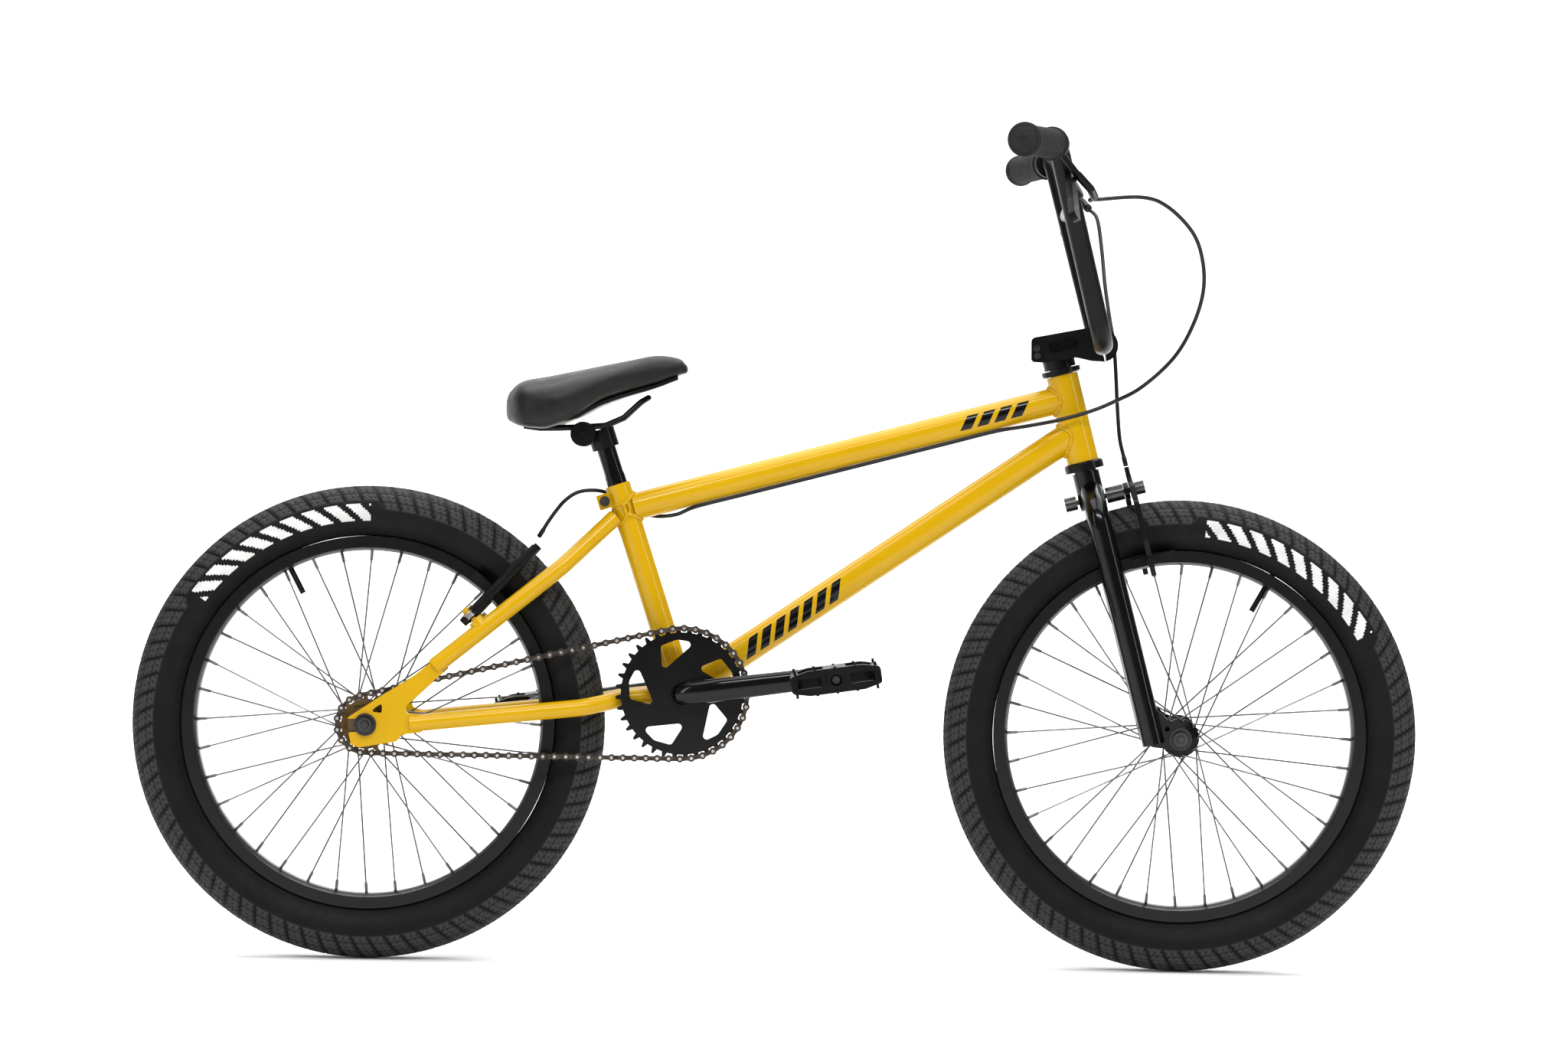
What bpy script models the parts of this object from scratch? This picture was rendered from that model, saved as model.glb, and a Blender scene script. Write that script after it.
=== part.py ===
"""BMX bike with a V brake behind, a caliper brake in front and three-cross wheels.

Metres, +X forward, +Y to the rider's left, +Z up. The origin is on the ground midway between the
axles. The steering is at rest STEER_REST degrees to the right, so its pieces are modelled straight
ahead and hang from an empty on the steering axis that holds that turn.
"""

import math

import bpy
import bmesh
from mathutils import Matrix, Vector
from mathutils.geometry import tessellate_polygon

GAP = 0.0003  # between pieces that touch

# Wheels
WHEELBASE = 0.910
TYRE_RADIUS = 0.265
TYRE_SECTION = 0.0295
WHEEL_SEGMENTS = 32
SPOKES = 36
SPOKE_SKIP = 60.0  # degrees at the hub between a spoke's two ends, three crossings
HUB_HOLE_RADIUS = 0.019

# Frame
HEAD_LEAN = 14.75
HEAD_CENTRE = Vector((0.3287, 0.0, 0.6197))
HEAD_LENGTH = 0.100
SEAT_LEAN = 18.4
BB_CENTRE = Vector((-0.10396, 0.0, 0.3048))
SEAT_TUBE_LENGTH = 0.244
STEER_REST = -3.3

# Drive
CHAINRING_TEETH = 36
COG_TEETH = 16
CHAIN_PITCH = 0.0127
CHAIN_LINE = -0.045
CRANK_LENGTH = 0.170
CRANK_ANGLE = 8.2

# Bars
BAR_RADIUS = 0.0111


def direction(lean, forward=0.0):
    """Unit vector leaning back from vertical, or square to that, in the X-Z plane."""
    angle = math.radians(lean + forward)
    return Vector((-math.sin(angle), 0.0, math.cos(angle)))


HEAD_UP = direction(HEAD_LEAN)
HEAD_FORWARD = Vector((HEAD_UP.z, 0.0, -HEAD_UP.x))
SEAT_UP = direction(SEAT_LEAN)
SEAT_FORWARD = Vector((SEAT_UP.z, 0.0, -SEAT_UP.x))
LEFT = Vector((0.0, 1.0, 0.0))
REAR_AXLE = Vector((-WHEELBASE / 2, 0.0, TYRE_RADIUS))
FRONT_AXLE = Vector((WHEELBASE / 2, 0.0, TYRE_RADIUS))
SEAT_TOP = BB_CENTRE + SEAT_UP * SEAT_TUBE_LENGTH

for old in list(bpy.data.objects):
    bpy.data.objects.remove(old, do_unlink=True)


def material(name, colour, metallic, roughness):
    made = bpy.data.materials.new(name)
    made.use_nodes = True
    shader = made.node_tree.nodes["Principled BSDF"]
    shader.inputs["Base Color"].default_value = (*colour, 1.0)
    shader.inputs["Metallic"].default_value = metallic
    shader.inputs["Roughness"].default_value = roughness
    return made


YELLOW = material("frame_yellow", (0.62, 0.36, 0.004), 0.0, 0.25)
GLOSS_BLACK = material("gloss_black_paint", (0.006, 0.006, 0.007), 0.0, 0.2)
SATIN_BLACK = material("satin_black_metal", (0.02, 0.02, 0.021), 0.4, 0.4)
RIM_BLACK = material("rim_black", (0.008, 0.008, 0.009), 0.3, 0.3)
STEEL = material("plated_steel", (0.55, 0.54, 0.52), 1.0, 0.3)
CHAIN_BROWN = material("chain_steel", (0.16, 0.14, 0.12), 1.0, 0.4)
BRONZE = material("cog_bronze", (0.14, 0.09, 0.02), 1.0, 0.4)
TYRE_BLACK = material("tyre_rubber", (0.013, 0.013, 0.013), 0.0, 0.8)
GRIP_BLACK = material("grip_rubber", (0.04, 0.041, 0.04), 0.0, 0.7)
PLASTIC = material("black_plastic", (0.012, 0.012, 0.013), 0.0, 0.45)
SADDLE_BLACK = material("saddle_cover", (0.02, 0.02, 0.02), 0.0, 0.4)
CABLE_BLACK = material("cable_housing", (0.01, 0.01, 0.01), 0.0, 0.5)

pivots = {}


def pivot(name, point, parent=None, turn=None):
    """An empty on a joint's axis; everything that moves with the joint hangs from it."""
    empty = bpy.data.objects.new(name, None)
    bpy.context.scene.collection.objects.link(empty)
    empty.location = point
    if parent:
        empty.parent = pivots[parent][0]
        empty.location = point - pivots[parent][1]
    if turn is not None:
        empty.rotation_mode = "QUATERNION"
        empty.rotation_quaternion = turn.to_quaternion()
    pivots[name] = (empty, point)


def place(name, bm, paint, on=None, sharp=35.0):
    """Make the named object from a bmesh drawn in whole-bike coordinates."""
    bmesh.ops.recalc_face_normals(bm, faces=bm.faces[:])
    if on:
        bmesh.ops.translate(bm, verts=bm.verts[:], vec=-pivots[on][1])
    mesh = bpy.data.meshes.new(name)
    bm.to_mesh(mesh)
    bm.free()
    mesh.materials.append(paint)
    mesh.shade_smooth()
    mesh.set_sharp_from_angle(angle=math.radians(sharp))
    obj = bpy.data.objects.new(name, mesh)
    bpy.context.scene.collection.objects.link(obj)
    if on:
        obj.parent = pivots[on][0]
    return obj


def helper(name, bm, on=None):
    """A solid that only serves a Boolean and isn't a part itself."""
    obj = place(name, bm, PLASTIC, on)
    obj.hide_render = True
    obj.display_type = "WIRE"
    return obj


def boolean(obj, other, operation):
    modifier = obj.modifiers.new(operation.lower() + "_" + other.name, "BOOLEAN")
    modifier.operation = operation
    modifier.solver = "MANIFOLD"
    modifier.object = other


def join(obj, bm, on=None):
    boolean(obj, helper(obj.name + "_with_%d" % len(obj.modifiers), bm, on), "UNION")


def cut(obj, bm, on=None):
    boolean(obj, helper(obj.name + "_less_%d" % len(obj.modifiers), bm, on), "DIFFERENCE")


def across(axis, hint=None):
    """Two unit vectors square to an axis and to each other."""
    axis = axis.normalized()
    hint = hint or (LEFT if abs(axis.y) < 0.9 else Vector((1.0, 0.0, 0.0)))
    first = (hint - axis * hint.dot(axis)).normalized()
    return first, axis.cross(first)


def skin(bm, rings, loop=False):
    """Join a row of rings, each a list of vertices or a single vertex, with faces."""
    pairs = list(zip(rings, rings[1:]))
    if loop:
        pairs.append((rings[-1], rings[0]))
    for low, high in pairs:
        count = max(len(low), len(high))
        if count == 1:
            continue
        for i in range(count):
            j = (i + 1) % count
            if len(low) == 1:
                bm.faces.new((low[0], high[i], high[j]))
            elif len(high) == 1:
                bm.faces.new((low[i], low[j], high[0]))
            else:
                bm.faces.new((low[i], low[j], high[j], high[i]))
    return bm


def turned(profile, origin, axis, segments, start=None, into=None):
    """Turn a closed profile of (radius, height along the axis); radius 0 makes a pole."""
    bm = into or bmesh.new()
    axis = axis.normalized()
    side, other = across(axis, start)
    rings = []
    for radius, height in profile:
        centre = origin + axis * height
        if radius < 1e-7:
            rings.append([bm.verts.new(centre)])
            continue
        ring = []
        for i in range(segments):
            angle = 2 * math.pi * i / segments
            way = side * math.cos(angle) + other * math.sin(angle)
            ring.append(bm.verts.new(centre + way * radius))
        rings.append(ring)
    return skin(bm, rings, loop=True)


def rod(start, end, radius, sides=12, into=None, end_radius=None):
    """A round bar between two points."""
    length = (end - start).length
    far = radius if end_radius is None else end_radius
    return turned([(0, 0), (radius, 0), (far, length), (0, length)], start, end - start, sides, into=into)


def bored(start, end, radius, bore, sides=16, into=None):
    """A round tube with a hole right through."""
    length = (end - start).length
    profile = [(bore, 0), (radius, 0), (radius, length), (bore, length)]
    return turned(profile, start, end - start, sides, into=into)


def swept(path, section, hint=None, into=None, scales=None):
    """Sweep a closed section of (side, other) offsets along a path without twist, ends closed."""
    bm = into or bmesh.new()
    path = [Vector(point) for point in path]
    ways = []
    for i, point in enumerate(path):
        before = (point - path[i - 1]).normalized() if i else None
        after = (path[i + 1] - point).normalized() if i + 1 < len(path) else None
        ways.append(((before or after) + (after or before)).normalized())
    side, other = across(ways[0], hint)
    rings = []
    for i, (point, way) in enumerate(zip(path, ways)):
        if i:
            turn = ways[i - 1].rotation_difference(way)
            side = turn @ side
            side = (side - way * side.dot(way)).normalized()
            other = way.cross(side)
        scale = scales[i] if scales else (1.0, 1.0)
        ring = []
        for a, b in section:
            ring.append(bm.verts.new(point + side * (a * scale[0]) + other * (b * scale[1])))
        rings.append(ring)
    skin(bm, rings)
    bm.faces.new(rings[0])
    bm.faces.new(rings[-1])
    return bm


def circle(radius, sides, other=None):
    """Section points on a circle or an ellipse."""
    points = []
    for i in range(sides):
        angle = 2 * math.pi * (i + 0.5) / sides
        points.append((radius * math.cos(angle), (other or radius) * math.sin(angle)))
    return points


def curved(points, steps, round_by=0.5):
    """A smooth path through the points: Catmull-Rom spans of so many steps."""
    points = [Vector(point) for point in points]
    padded = [points[0] * 2 - points[1]] + points + [points[-1] * 2 - points[-2]]
    out = []
    for i in range(1, len(padded) - 2):
        p0, p1, p2, p3 = padded[i - 1:i + 3]
        m1 = (p2 - p0) * round_by
        m2 = (p3 - p1) * round_by
        for k in range(steps):
            t = k / steps
            h00 = 2 * t ** 3 - 3 * t ** 2 + 1
            h10 = t ** 3 - 2 * t ** 2 + t
            h01 = -2 * t ** 3 + 3 * t ** 2
            h11 = t ** 3 - t ** 2
            out.append(p1 * h00 + m1 * h10 + p2 * h01 + m2 * h11)
    out.append(points[-1])
    return out


def bends(points, radii, steps=5):
    """A path of straight runs whose inner corners are arcs of the given radii."""
    points = [Vector(point) for point in points]
    out = [points[0]]
    for i in range(1, len(points) - 1):
        before = (points[i - 1] - points[i]).normalized()
        after = (points[i + 1] - points[i]).normalized()
        half = before.angle(after) / 2
        radius = radii[i - 1]
        back = radius / math.tan(half)
        centre = points[i] + (before + after).normalized() * (radius / math.sin(half))
        first = points[i] + before * back - centre
        last = points[i] + after * back - centre
        turn = first.rotation_difference(last)
        for k in range(steps + 1):
            part = turn.copy()
            part.angle = turn.angle * k / steps
            out.append(centre + part @ first)
    out.append(points[-1])
    return out


def rounded(corners, steps=3):
    """Outline points from corners (x, y, radius)."""
    out = []
    count = len(corners)
    for i, (x, y, radius) in enumerate(corners):
        here = Vector((x, y))
        if radius <= 0:
            out.append((x, y))
            continue
        before = (Vector(corners[i - 1][:2]) - here).normalized()
        after = (Vector(corners[(i + 1) % count][:2]) - here).normalized()
        half = before.angle(after) / 2
        centre = here + (before + after).normalized() * (radius / math.sin(half))
        first = here + before * (radius / math.tan(half)) - centre
        last = here + after * (radius / math.tan(half)) - centre
        angle = first.angle_signed(last)
        for k in range(steps + 1):
            turn = -angle * k / steps
            spun = Vector((
                first.x * math.cos(turn) - first.y * math.sin(turn),
                first.x * math.sin(turn) + first.y * math.cos(turn),
            ))
            out.append(tuple(centre + spun))
    return out


def disc(radius, sides, centre=(0.0, 0.0), start=0.0):
    """Outline of a round hole or plate."""
    points = []
    for i in range(sides):
        angle = start + 2 * math.pi * i / sides
        points.append((centre[0] + radius * math.cos(angle), centre[1] + radius * math.sin(angle)))
    return points


def plate(outline, holes, thickness, origin, right, up, into=None):
    """A flat plate with holes, centred on its own plane, drawn with two in-plane vectors."""
    bm = into or bmesh.new()
    normal = right.cross(up).normalized()
    loops = [outline] + holes
    flat = [[Vector((x, y, 0.0)) for x, y in loop] for loop in loops]
    triangles = tessellate_polygon(flat)
    layers = []
    for side in (-0.5, 0.5):
        layer = []
        for loop in loops:
            for x, y in loop:
                layer.append(bm.verts.new(origin + right * x + up * y + normal * (thickness * side)))
        layers.append(layer)
        for triangle in triangles:
            bm.faces.new([layer[i] for i in triangle])
    first = 0
    for loop in loops:
        count = len(loop)
        for i in range(count):
            a = first + i
            b = first + (i + 1) % count
            bm.faces.new((layers[0][a], layers[0][b], layers[1][b], layers[1][a]))
        first += count
    return bm


def box(centre, x_axis, y_axis, sizes, into=None):
    """A block from its centre, two of its axes and its three sizes."""
    x_axis = x_axis.normalized()
    y_axis = (y_axis - x_axis * y_axis.dot(x_axis)).normalized()
    half_x = sizes[0] / 2
    half_y = sizes[1] / 2
    outline = [(-half_x, -half_y), (half_x, -half_y), (half_x, half_y), (-half_x, half_y)]
    return plate(outline, [], sizes[2], centre, x_axis, y_axis, into)


def mirrored(points):
    return [Vector((point[0], -point[1], point[2])) for point in points]


def steer(forward, left, up):
    """A point from the head tube's centre: forward of the steering axis, left, and up along it."""
    return HEAD_CENTRE + HEAD_FORWARD * forward + LEFT * left + HEAD_UP * up


pivot("steering_axis", HEAD_CENTRE, turn=Matrix.Rotation(math.radians(STEER_REST), 4, HEAD_UP))
pivot("front_wheel_axis", FRONT_AXLE, "steering_axis")
pivot("rear_wheel_axis", REAR_AXLE)


# Wheels: both are the same but for the hub's width
def build_wheel(end, centre, on, right_flange, left_flange, hub_half, valve_angle):
    tyre = []
    for angle in (-45, -15, 15, 50, 90, 130, 165, 195, 225):
        turn = math.radians(angle)
        tyre.append((0.2355 + TYRE_SECTION * math.sin(turn), TYRE_SECTION * math.cos(turn)))
    tyre.append((0.2090, -0.0125))
    tyre.append((0.2165, -0.0165))
    for angle in (175, 132, 90, 48, 5):
        turn = math.radians(angle)
        tyre.append((0.2355 + 0.0265 * math.sin(turn), 0.0265 * math.cos(turn)))
    tyre.append((0.2165, 0.0165))
    tyre.append((0.2090, 0.0125))
    place(end + "_tyre", turned(tyre, centre, LEFT, WHEEL_SEGMENTS), TYRE_BLACK, on)
    rim = [
        (0.2086, -0.0160), (0.2086, -0.0132), (0.1990, -0.0100),
        (0.1990, 0.0100), (0.2086, 0.0132), (0.2086, 0.0160),
        (0.1960, 0.0160), (0.1925, 0.0100), (0.1925, -0.0100), (0.1960, -0.0160),
    ]
    rim_obj = place(end + "_rim", turned(rim, centre, LEFT, WHEEL_SEGMENTS), RIM_BLACK, on)
    out = Vector((math.cos(valve_angle), 0.0, math.sin(valve_angle)))
    cut(rim_obj, rod(centre + out * 0.185, centre + out * 0.205, 0.0046, 8), on)
    tube = [(0.2355 + 0.0230 * a, 0.0230 * b) for a, b in circle(1.0, 6)]
    tube_obj = place(end + "_inner_tube", turned(tube, centre, LEFT, WHEEL_SEGMENTS), TYRE_BLACK, on)
    join(tube_obj, rod(centre + out * 0.162, centre + out * 0.220, 0.0040, 8), on)

    flange = 0.0015
    shell = [
        (0.0052, -hub_half), (0.0125, -hub_half), (0.0140, right_flange - 0.004),
        (0.0215, right_flange - flange), (0.0215, right_flange + flange),
        (0.0140, right_flange + 0.005),
        (0.0130, 0.0), (0.0140, left_flange - 0.005), (0.0215, left_flange - flange),
        (0.0215, left_flange + flange), (0.0140, left_flange + 0.004), (0.0125, hub_half),
        (0.0052, hub_half),
    ]
    place(end + "_hub", turned(shell, centre, LEFT, 12), SATIN_BLACK, on)

    for side, height, offset in (("right", right_flange, 0.0), ("left", left_flange, 10.0)):
        outward = 1.0 if height > 0 else -1.0
        inner = height + outward * (flange + GAP + 0.0018)
        ways = []
        for way, first in ((1, 0.0), (-1, 20.0)):
            bm = bmesh.new()
            for k in range(SPOKES // 4):
                hub_angle = math.radians(first + offset + 40.0 * k)
                rim_angle = hub_angle + way * math.radians(SPOKE_SKIP)
                low = centre + Vector((math.cos(hub_angle), 0, math.sin(hub_angle))) * HUB_HOLE_RADIUS
                high = centre + Vector((math.cos(rim_angle), 0, math.sin(rim_angle))) * 0.1900
                level = outward * (0.0004 if way < 0 else 0.0)
                foot = low + LEFT * (inner + level)
                rod(foot, high + LEFT * (outward * 0.006 + level), 0.0012, 3, into=bm)
            ways.append(bm)
        spokes = place(end + "_spokes_" + side, ways[0], STEEL, on)
        join(spokes, ways[1], on)


build_wheel("rear", REAR_AXLE, "rear_wheel_axis", -0.030, 0.033, 0.0395, math.radians(118.0))
build_wheel("front", FRONT_AXLE, "front_wheel_axis", -0.035, 0.035, 0.0445, math.radians(61.0))


def build_axle(end, centre, on, cone, inner, nut, tip):
    """An axle with its cones and locknuts as one turned piece, and the two nuts outside the dropouts."""
    profile = [
        (0, -tip), (0.00475, -tip), (0.00475, -inner), (0.0095, -inner),
        (0.0095, -cone), (0.0048, -cone),
        (0.0048, cone), (0.0095, cone), (0.0095, inner), (0.00475, inner), (0.00475, tip), (0, tip),
    ]
    place(end + "_axle", turned(profile, centre, LEFT, 12), STEEL, on)
    for side, name in ((-1, "_axle_nut_right"), (1, "_axle_nut_left")):
        washer = [
            (0.00505, nut), (0.0125, nut), (0.0125, nut + 0.002), (0.0083, nut + 0.002),
            (0.0083, nut + 0.0095), (0.00505, nut + 0.0095),
        ]
        place(end + name, turned(washer, centre, LEFT * side, 12), STEEL, on)


build_axle("rear", REAR_AXLE, None, 0.0398, 0.0547, 0.0608, 0.074)
build_axle("front", FRONT_AXLE, "steering_axis", 0.0448, 0.0497, 0.0553, 0.068)


# Drive: the chain's pins sit between the teeth of both wheels, on the top run's tangent
COG_RADIUS = CHAIN_PITCH / (2 * math.sin(math.pi / COG_TEETH))
RING_RADIUS = CHAIN_PITCH / (2 * math.sin(math.pi / CHAINRING_TEETH))
CHAIN_LINKS = 82
chain_back = REAR_AXLE + LEFT * CHAIN_LINE
chain_front = BB_CENTRE + LEFT * CHAIN_LINE
centres = chain_front - chain_back
centre_angle = math.atan2(centres.z, centres.x)
tangent_turn = math.asin((RING_RADIUS - COG_RADIUS) / centres.length)


def chain_path():
    """Points all round the chain's pitch line, one for each pin, with the direction out of the loop."""
    upper = centre_angle + math.pi / 2 + tangent_turn
    lower = centre_angle - math.pi / 2 - tangent_turn
    straight = centres.length * math.cos(tangent_turn)
    ring_arc = RING_RADIUS * (upper - lower)
    cog_arc = COG_RADIUS * (2 * math.pi - upper + lower)
    total = 2 * straight + ring_arc + cog_arc
    out = []
    for i in range(CHAIN_LINKS):
        s = total * i / CHAIN_LINKS
        if s < straight:
            way = Vector((math.cos(upper), 0.0, math.sin(upper)))
            start = chain_back + way * COG_RADIUS
            point = start + (chain_front + way * RING_RADIUS - start) * (s / straight)
        elif s < straight + ring_arc:
            angle = upper - (s - straight) / RING_RADIUS
            way = Vector((math.cos(angle), 0.0, math.sin(angle)))
            point = chain_front + way * RING_RADIUS
        elif s < 2 * straight + ring_arc:
            way = Vector((math.cos(lower), 0.0, math.sin(lower)))
            start = chain_front + way * RING_RADIUS
            share = (s - straight - ring_arc) / straight
            point = start + (chain_back + way * COG_RADIUS - start) * share
        else:
            angle = lower - (s - 2 * straight - ring_arc) / COG_RADIUS
            way = Vector((math.cos(angle), 0.0, math.sin(angle)))
            point = chain_back + way * COG_RADIUS
        out.append((point, way))
    return out


pins = chain_path()


def build_chain():
    """Two side bands joined by a block at each pin; the windows between blocks take the teeth."""
    bm = bmesh.new()
    rows = []
    for point, way in pins:
        along = Vector((way.z, 0.0, -way.x))
        for step in (-0.0022, 0.0022):
            row = []
            for height in (-0.0042, 0.0042):
                base = point + along * step + way * height
                sides = (-0.0038, -0.0020, 0.0020, 0.0038)
                row.append([bm.verts.new(base + LEFT * side) for side in sides])
            rows.append(row)
    for i, low in enumerate(rows):
        high = rows[(i + 1) % len(rows)]
        block = i % 2 == 0
        for level in (0, 1):
            for strip in (0, 1, 2) if block else (0, 2):
                a, b = low[level][strip:strip + 2]
                c, d = high[level][strip:strip + 2]
                bm.faces.new((a, b, d, c))
        for edge in (0, 3) if block else (0, 1, 2, 3):
            bm.faces.new((low[0][edge], high[0][edge], high[1][edge], low[1][edge]))
        inner = [low[0][1], low[0][2], low[1][2], low[1][1]]
        bm.faces.new(inner)
    return bm


place("chain", build_chain(), CHAIN_BROWN)


def toothed(centre, count, pitch_radius, first_pin):
    """Outline of a sprocket whose gaps are centred on the chain's pins."""
    out = []
    step = 2 * math.pi / count
    start = math.atan2(first_pin.z - centre.z, first_pin.x - centre.x)
    for i in range(count):
        base = start + i * step
        for part, radius in ((-0.24, -0.0046), (0.24, -0.0046), (0.40, 0.0014), (0.60, 0.0014)):
            angle = base + part * step
            reach = pitch_radius + radius
            out.append((reach * math.cos(angle), reach * math.sin(angle)))
    return out


X = Vector((1.0, 0.0, 0.0))
Z = Vector((0.0, 0.0, 1.0))


def pin_on(centre, radius):
    """A pin well inside the chain's wrap round a sprocket."""
    best = None
    away = centre - (chain_back + chain_front) / 2
    for point, way in pins:
        if abs((point - centre).length - radius) < 1e-6 and (best is None or way.dot(away) > best[1]):
            best = (point, way.dot(away))
    return best[0]


pivot("freewheel_axis", REAR_AXLE)
cog_outline = toothed(chain_back, COG_TEETH, COG_RADIUS, pin_on(chain_back, COG_RADIUS))
cog = plate(cog_outline, [disc(0.0143, 16)], 0.0028, chain_back, X, Z)
cog_obj = place("freewheel_cog", cog, BRONZE, "freewheel_axis")
core = bored(REAR_AXLE - LEFT * 0.0522, REAR_AXLE - LEFT * 0.0401, 0.0200, 0.0103, 12)
join(cog_obj, core, "freewheel_axis")

pivot("crank_axis", BB_CENTRE)
windows = []
for k in range(5):
    base = 3.0 + 72.0 * k
    corners = []
    for radius, turn, soft in (
        (0.0585, 2.0, 0.004), (0.0605, 21.0, 0.010), (0.0585, 40.0, 0.004), (0.0330, 58.0, 0.004),
    ):
        angle = math.radians(base + turn)
        corners.append((radius * math.cos(angle), radius * math.sin(angle), soft))
    windows.append(rounded(corners, 2))
ring_outline = toothed(chain_front, CHAINRING_TEETH, RING_RADIUS, pin_on(chain_front, RING_RADIUS))
chainring = plate(ring_outline, windows + [disc(0.0125, 16)], 0.003, chain_front, X, Z)
place("sprocket", chainring, GLOSS_BLACK, "crank_axis")

crank_out = Vector((math.cos(math.radians(CRANK_ANGLE)), 0.0, math.sin(math.radians(CRANK_ANGLE))))
crank_up = Vector((-crank_out.z, 0.0, crank_out.x))
PEDAL_RIGHT = BB_CENTRE + crank_out * CRANK_LENGTH + LEFT * -0.085
PEDAL_LEFT = BB_CENTRE - crank_out * CRANK_LENGTH + LEFT * 0.085


def build_crank():
    """One forging: an S of two flat arms and the spindle between them."""
    points = []
    widths = []
    for along, side, thick, deep in (
        (-0.1805, 0.0850, 0.012, 0.013), (-0.1740, 0.0850, 0.013, 0.021),
        (-0.1600, 0.0850, 0.013, 0.024),
        (-0.1200, 0.0800, 0.013, 0.024), (-0.0450, 0.0680, 0.014, 0.026),
        (-0.0130, 0.0630, 0.016, 0.026),
        (-0.0010, 0.0540, 0.019, 0.022), (0.0, 0.0440, 0.020, 0.020), (0.0, -0.0440, 0.020, 0.020),
        (0.0010, -0.0540, 0.019, 0.022), (0.0130, -0.0630, 0.016, 0.026),
        (0.0450, -0.0680, 0.014, 0.026),
        (0.1200, -0.0800, 0.013, 0.024), (0.1600, -0.0850, 0.013, 0.024),
        (0.1740, -0.0850, 0.013, 0.021),
        (0.1805, -0.0850, 0.012, 0.013),
    ):
        points.append(BB_CENTRE + crank_out * along + LEFT * side)
        widths.append((deep / 2, thick / 2))
    return swept(points, circle(1.0, 8), hint=crank_up, scales=widths)


crank = place("crank", build_crank(), GLOSS_BLACK, "crank_axis")
cut(crank, rod(PEDAL_RIGHT - LEFT * 0.02, PEDAL_RIGHT + LEFT * 0.02, 0.0070, 12), "crank_axis")
cut(crank, rod(PEDAL_LEFT - LEFT * 0.02, PEDAL_LEFT + LEFT * 0.02, 0.0070, 12), "crank_axis")

for side, name, centre in ((-1, "right", PEDAL_RIGHT), (1, "left", PEDAL_LEFT)):
    out = LEFT * side
    pivot("pedal_axis_" + name, centre, "crank_axis")
    spindle = [
        (0, -0.0065), (0.0067, -0.0065), (0.0067, 0.0068), (0.0085, 0.0068), (0.0085, 0.0090),
        (0.0055, 0.0100), (0.0045, 0.0950), (0, 0.0950),
    ]
    place("pedal_spindle_" + name, turned(spindle, centre, out, 12), STEEL, "crank_axis")
    tilt = math.radians(8.5)
    fore = Vector((math.cos(tilt), 0.0, math.sin(tilt)))
    top = Vector((-fore.z, 0.0, fore.x))
    outline = rounded([
        (-0.0495, -0.009, 0.004), (-0.030, -0.0135, 0.01), (0.030, -0.0135, 0.01),
        (0.0495, -0.009, 0.004),
        (0.0495, 0.009, 0.004), (0.030, 0.0135, 0.01), (-0.030, 0.0135, 0.01), (-0.0495, 0.009, 0.004),
    ], 1)
    body = plate(outline, [disc(0.0062, 12)], 0.092, centre + out * 0.057, fore, top)
    pedal = place("pedal_" + name, body, PLASTIC, "pedal_axis_" + name)
    for shift in (-0.0265, 0.0265):
        slot = rounded([
            (-0.014, -0.034, 0.008), (0.014, -0.034, 0.008), (0.014, 0.034, 0.008),
            (-0.014, 0.034, 0.008),
        ], 2)
        hole = plate(slot, [], 0.04, centre + out * 0.057 + fore * shift, fore, out)
        cut(pedal, hole, "pedal_axis_" + name)


# Frame
def add_tube(to, start, end, radius, sides):
    """Joins one round frame tube to what is already built."""
    join(to, rod(start, end, radius, sides))


HEAD_TOP = HEAD_CENTRE + HEAD_UP * (HEAD_LENGTH / 2)
HEAD_FOOT = HEAD_CENTRE - HEAD_UP * (HEAD_LENGTH / 2)
frame = place("frame", rod(HEAD_FOOT, HEAD_TOP, 0.0180, 16), YELLOW)
top_way = Vector((1.0, 0.0, 0.2705)).normalized()
down_way = Vector((1.0, 0.0, 0.6862)).normalized()
top_rear = Vector((-0.158, 0.0, 0.5125))
top_front = Vector((0.320, 0.0, 0.5142 + 0.2705 * 0.4717))
down_front = Vector((0.332, 0.0, 0.3536 + 0.6862 * 0.365))
add_tube(frame, BB_CENTRE + SEAT_UP * 0.003, SEAT_TOP, 0.0143, 12)
add_tube(frame, top_rear - top_way * 0.004, top_front, 0.0155, 12)
add_tube(frame, BB_CENTRE + down_way * 0.005, down_front, 0.0166, 12)
add_tube(frame, BB_CENTRE - LEFT * 0.034, BB_CENTRE + LEFT * 0.034, 0.0285, 16)
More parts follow.
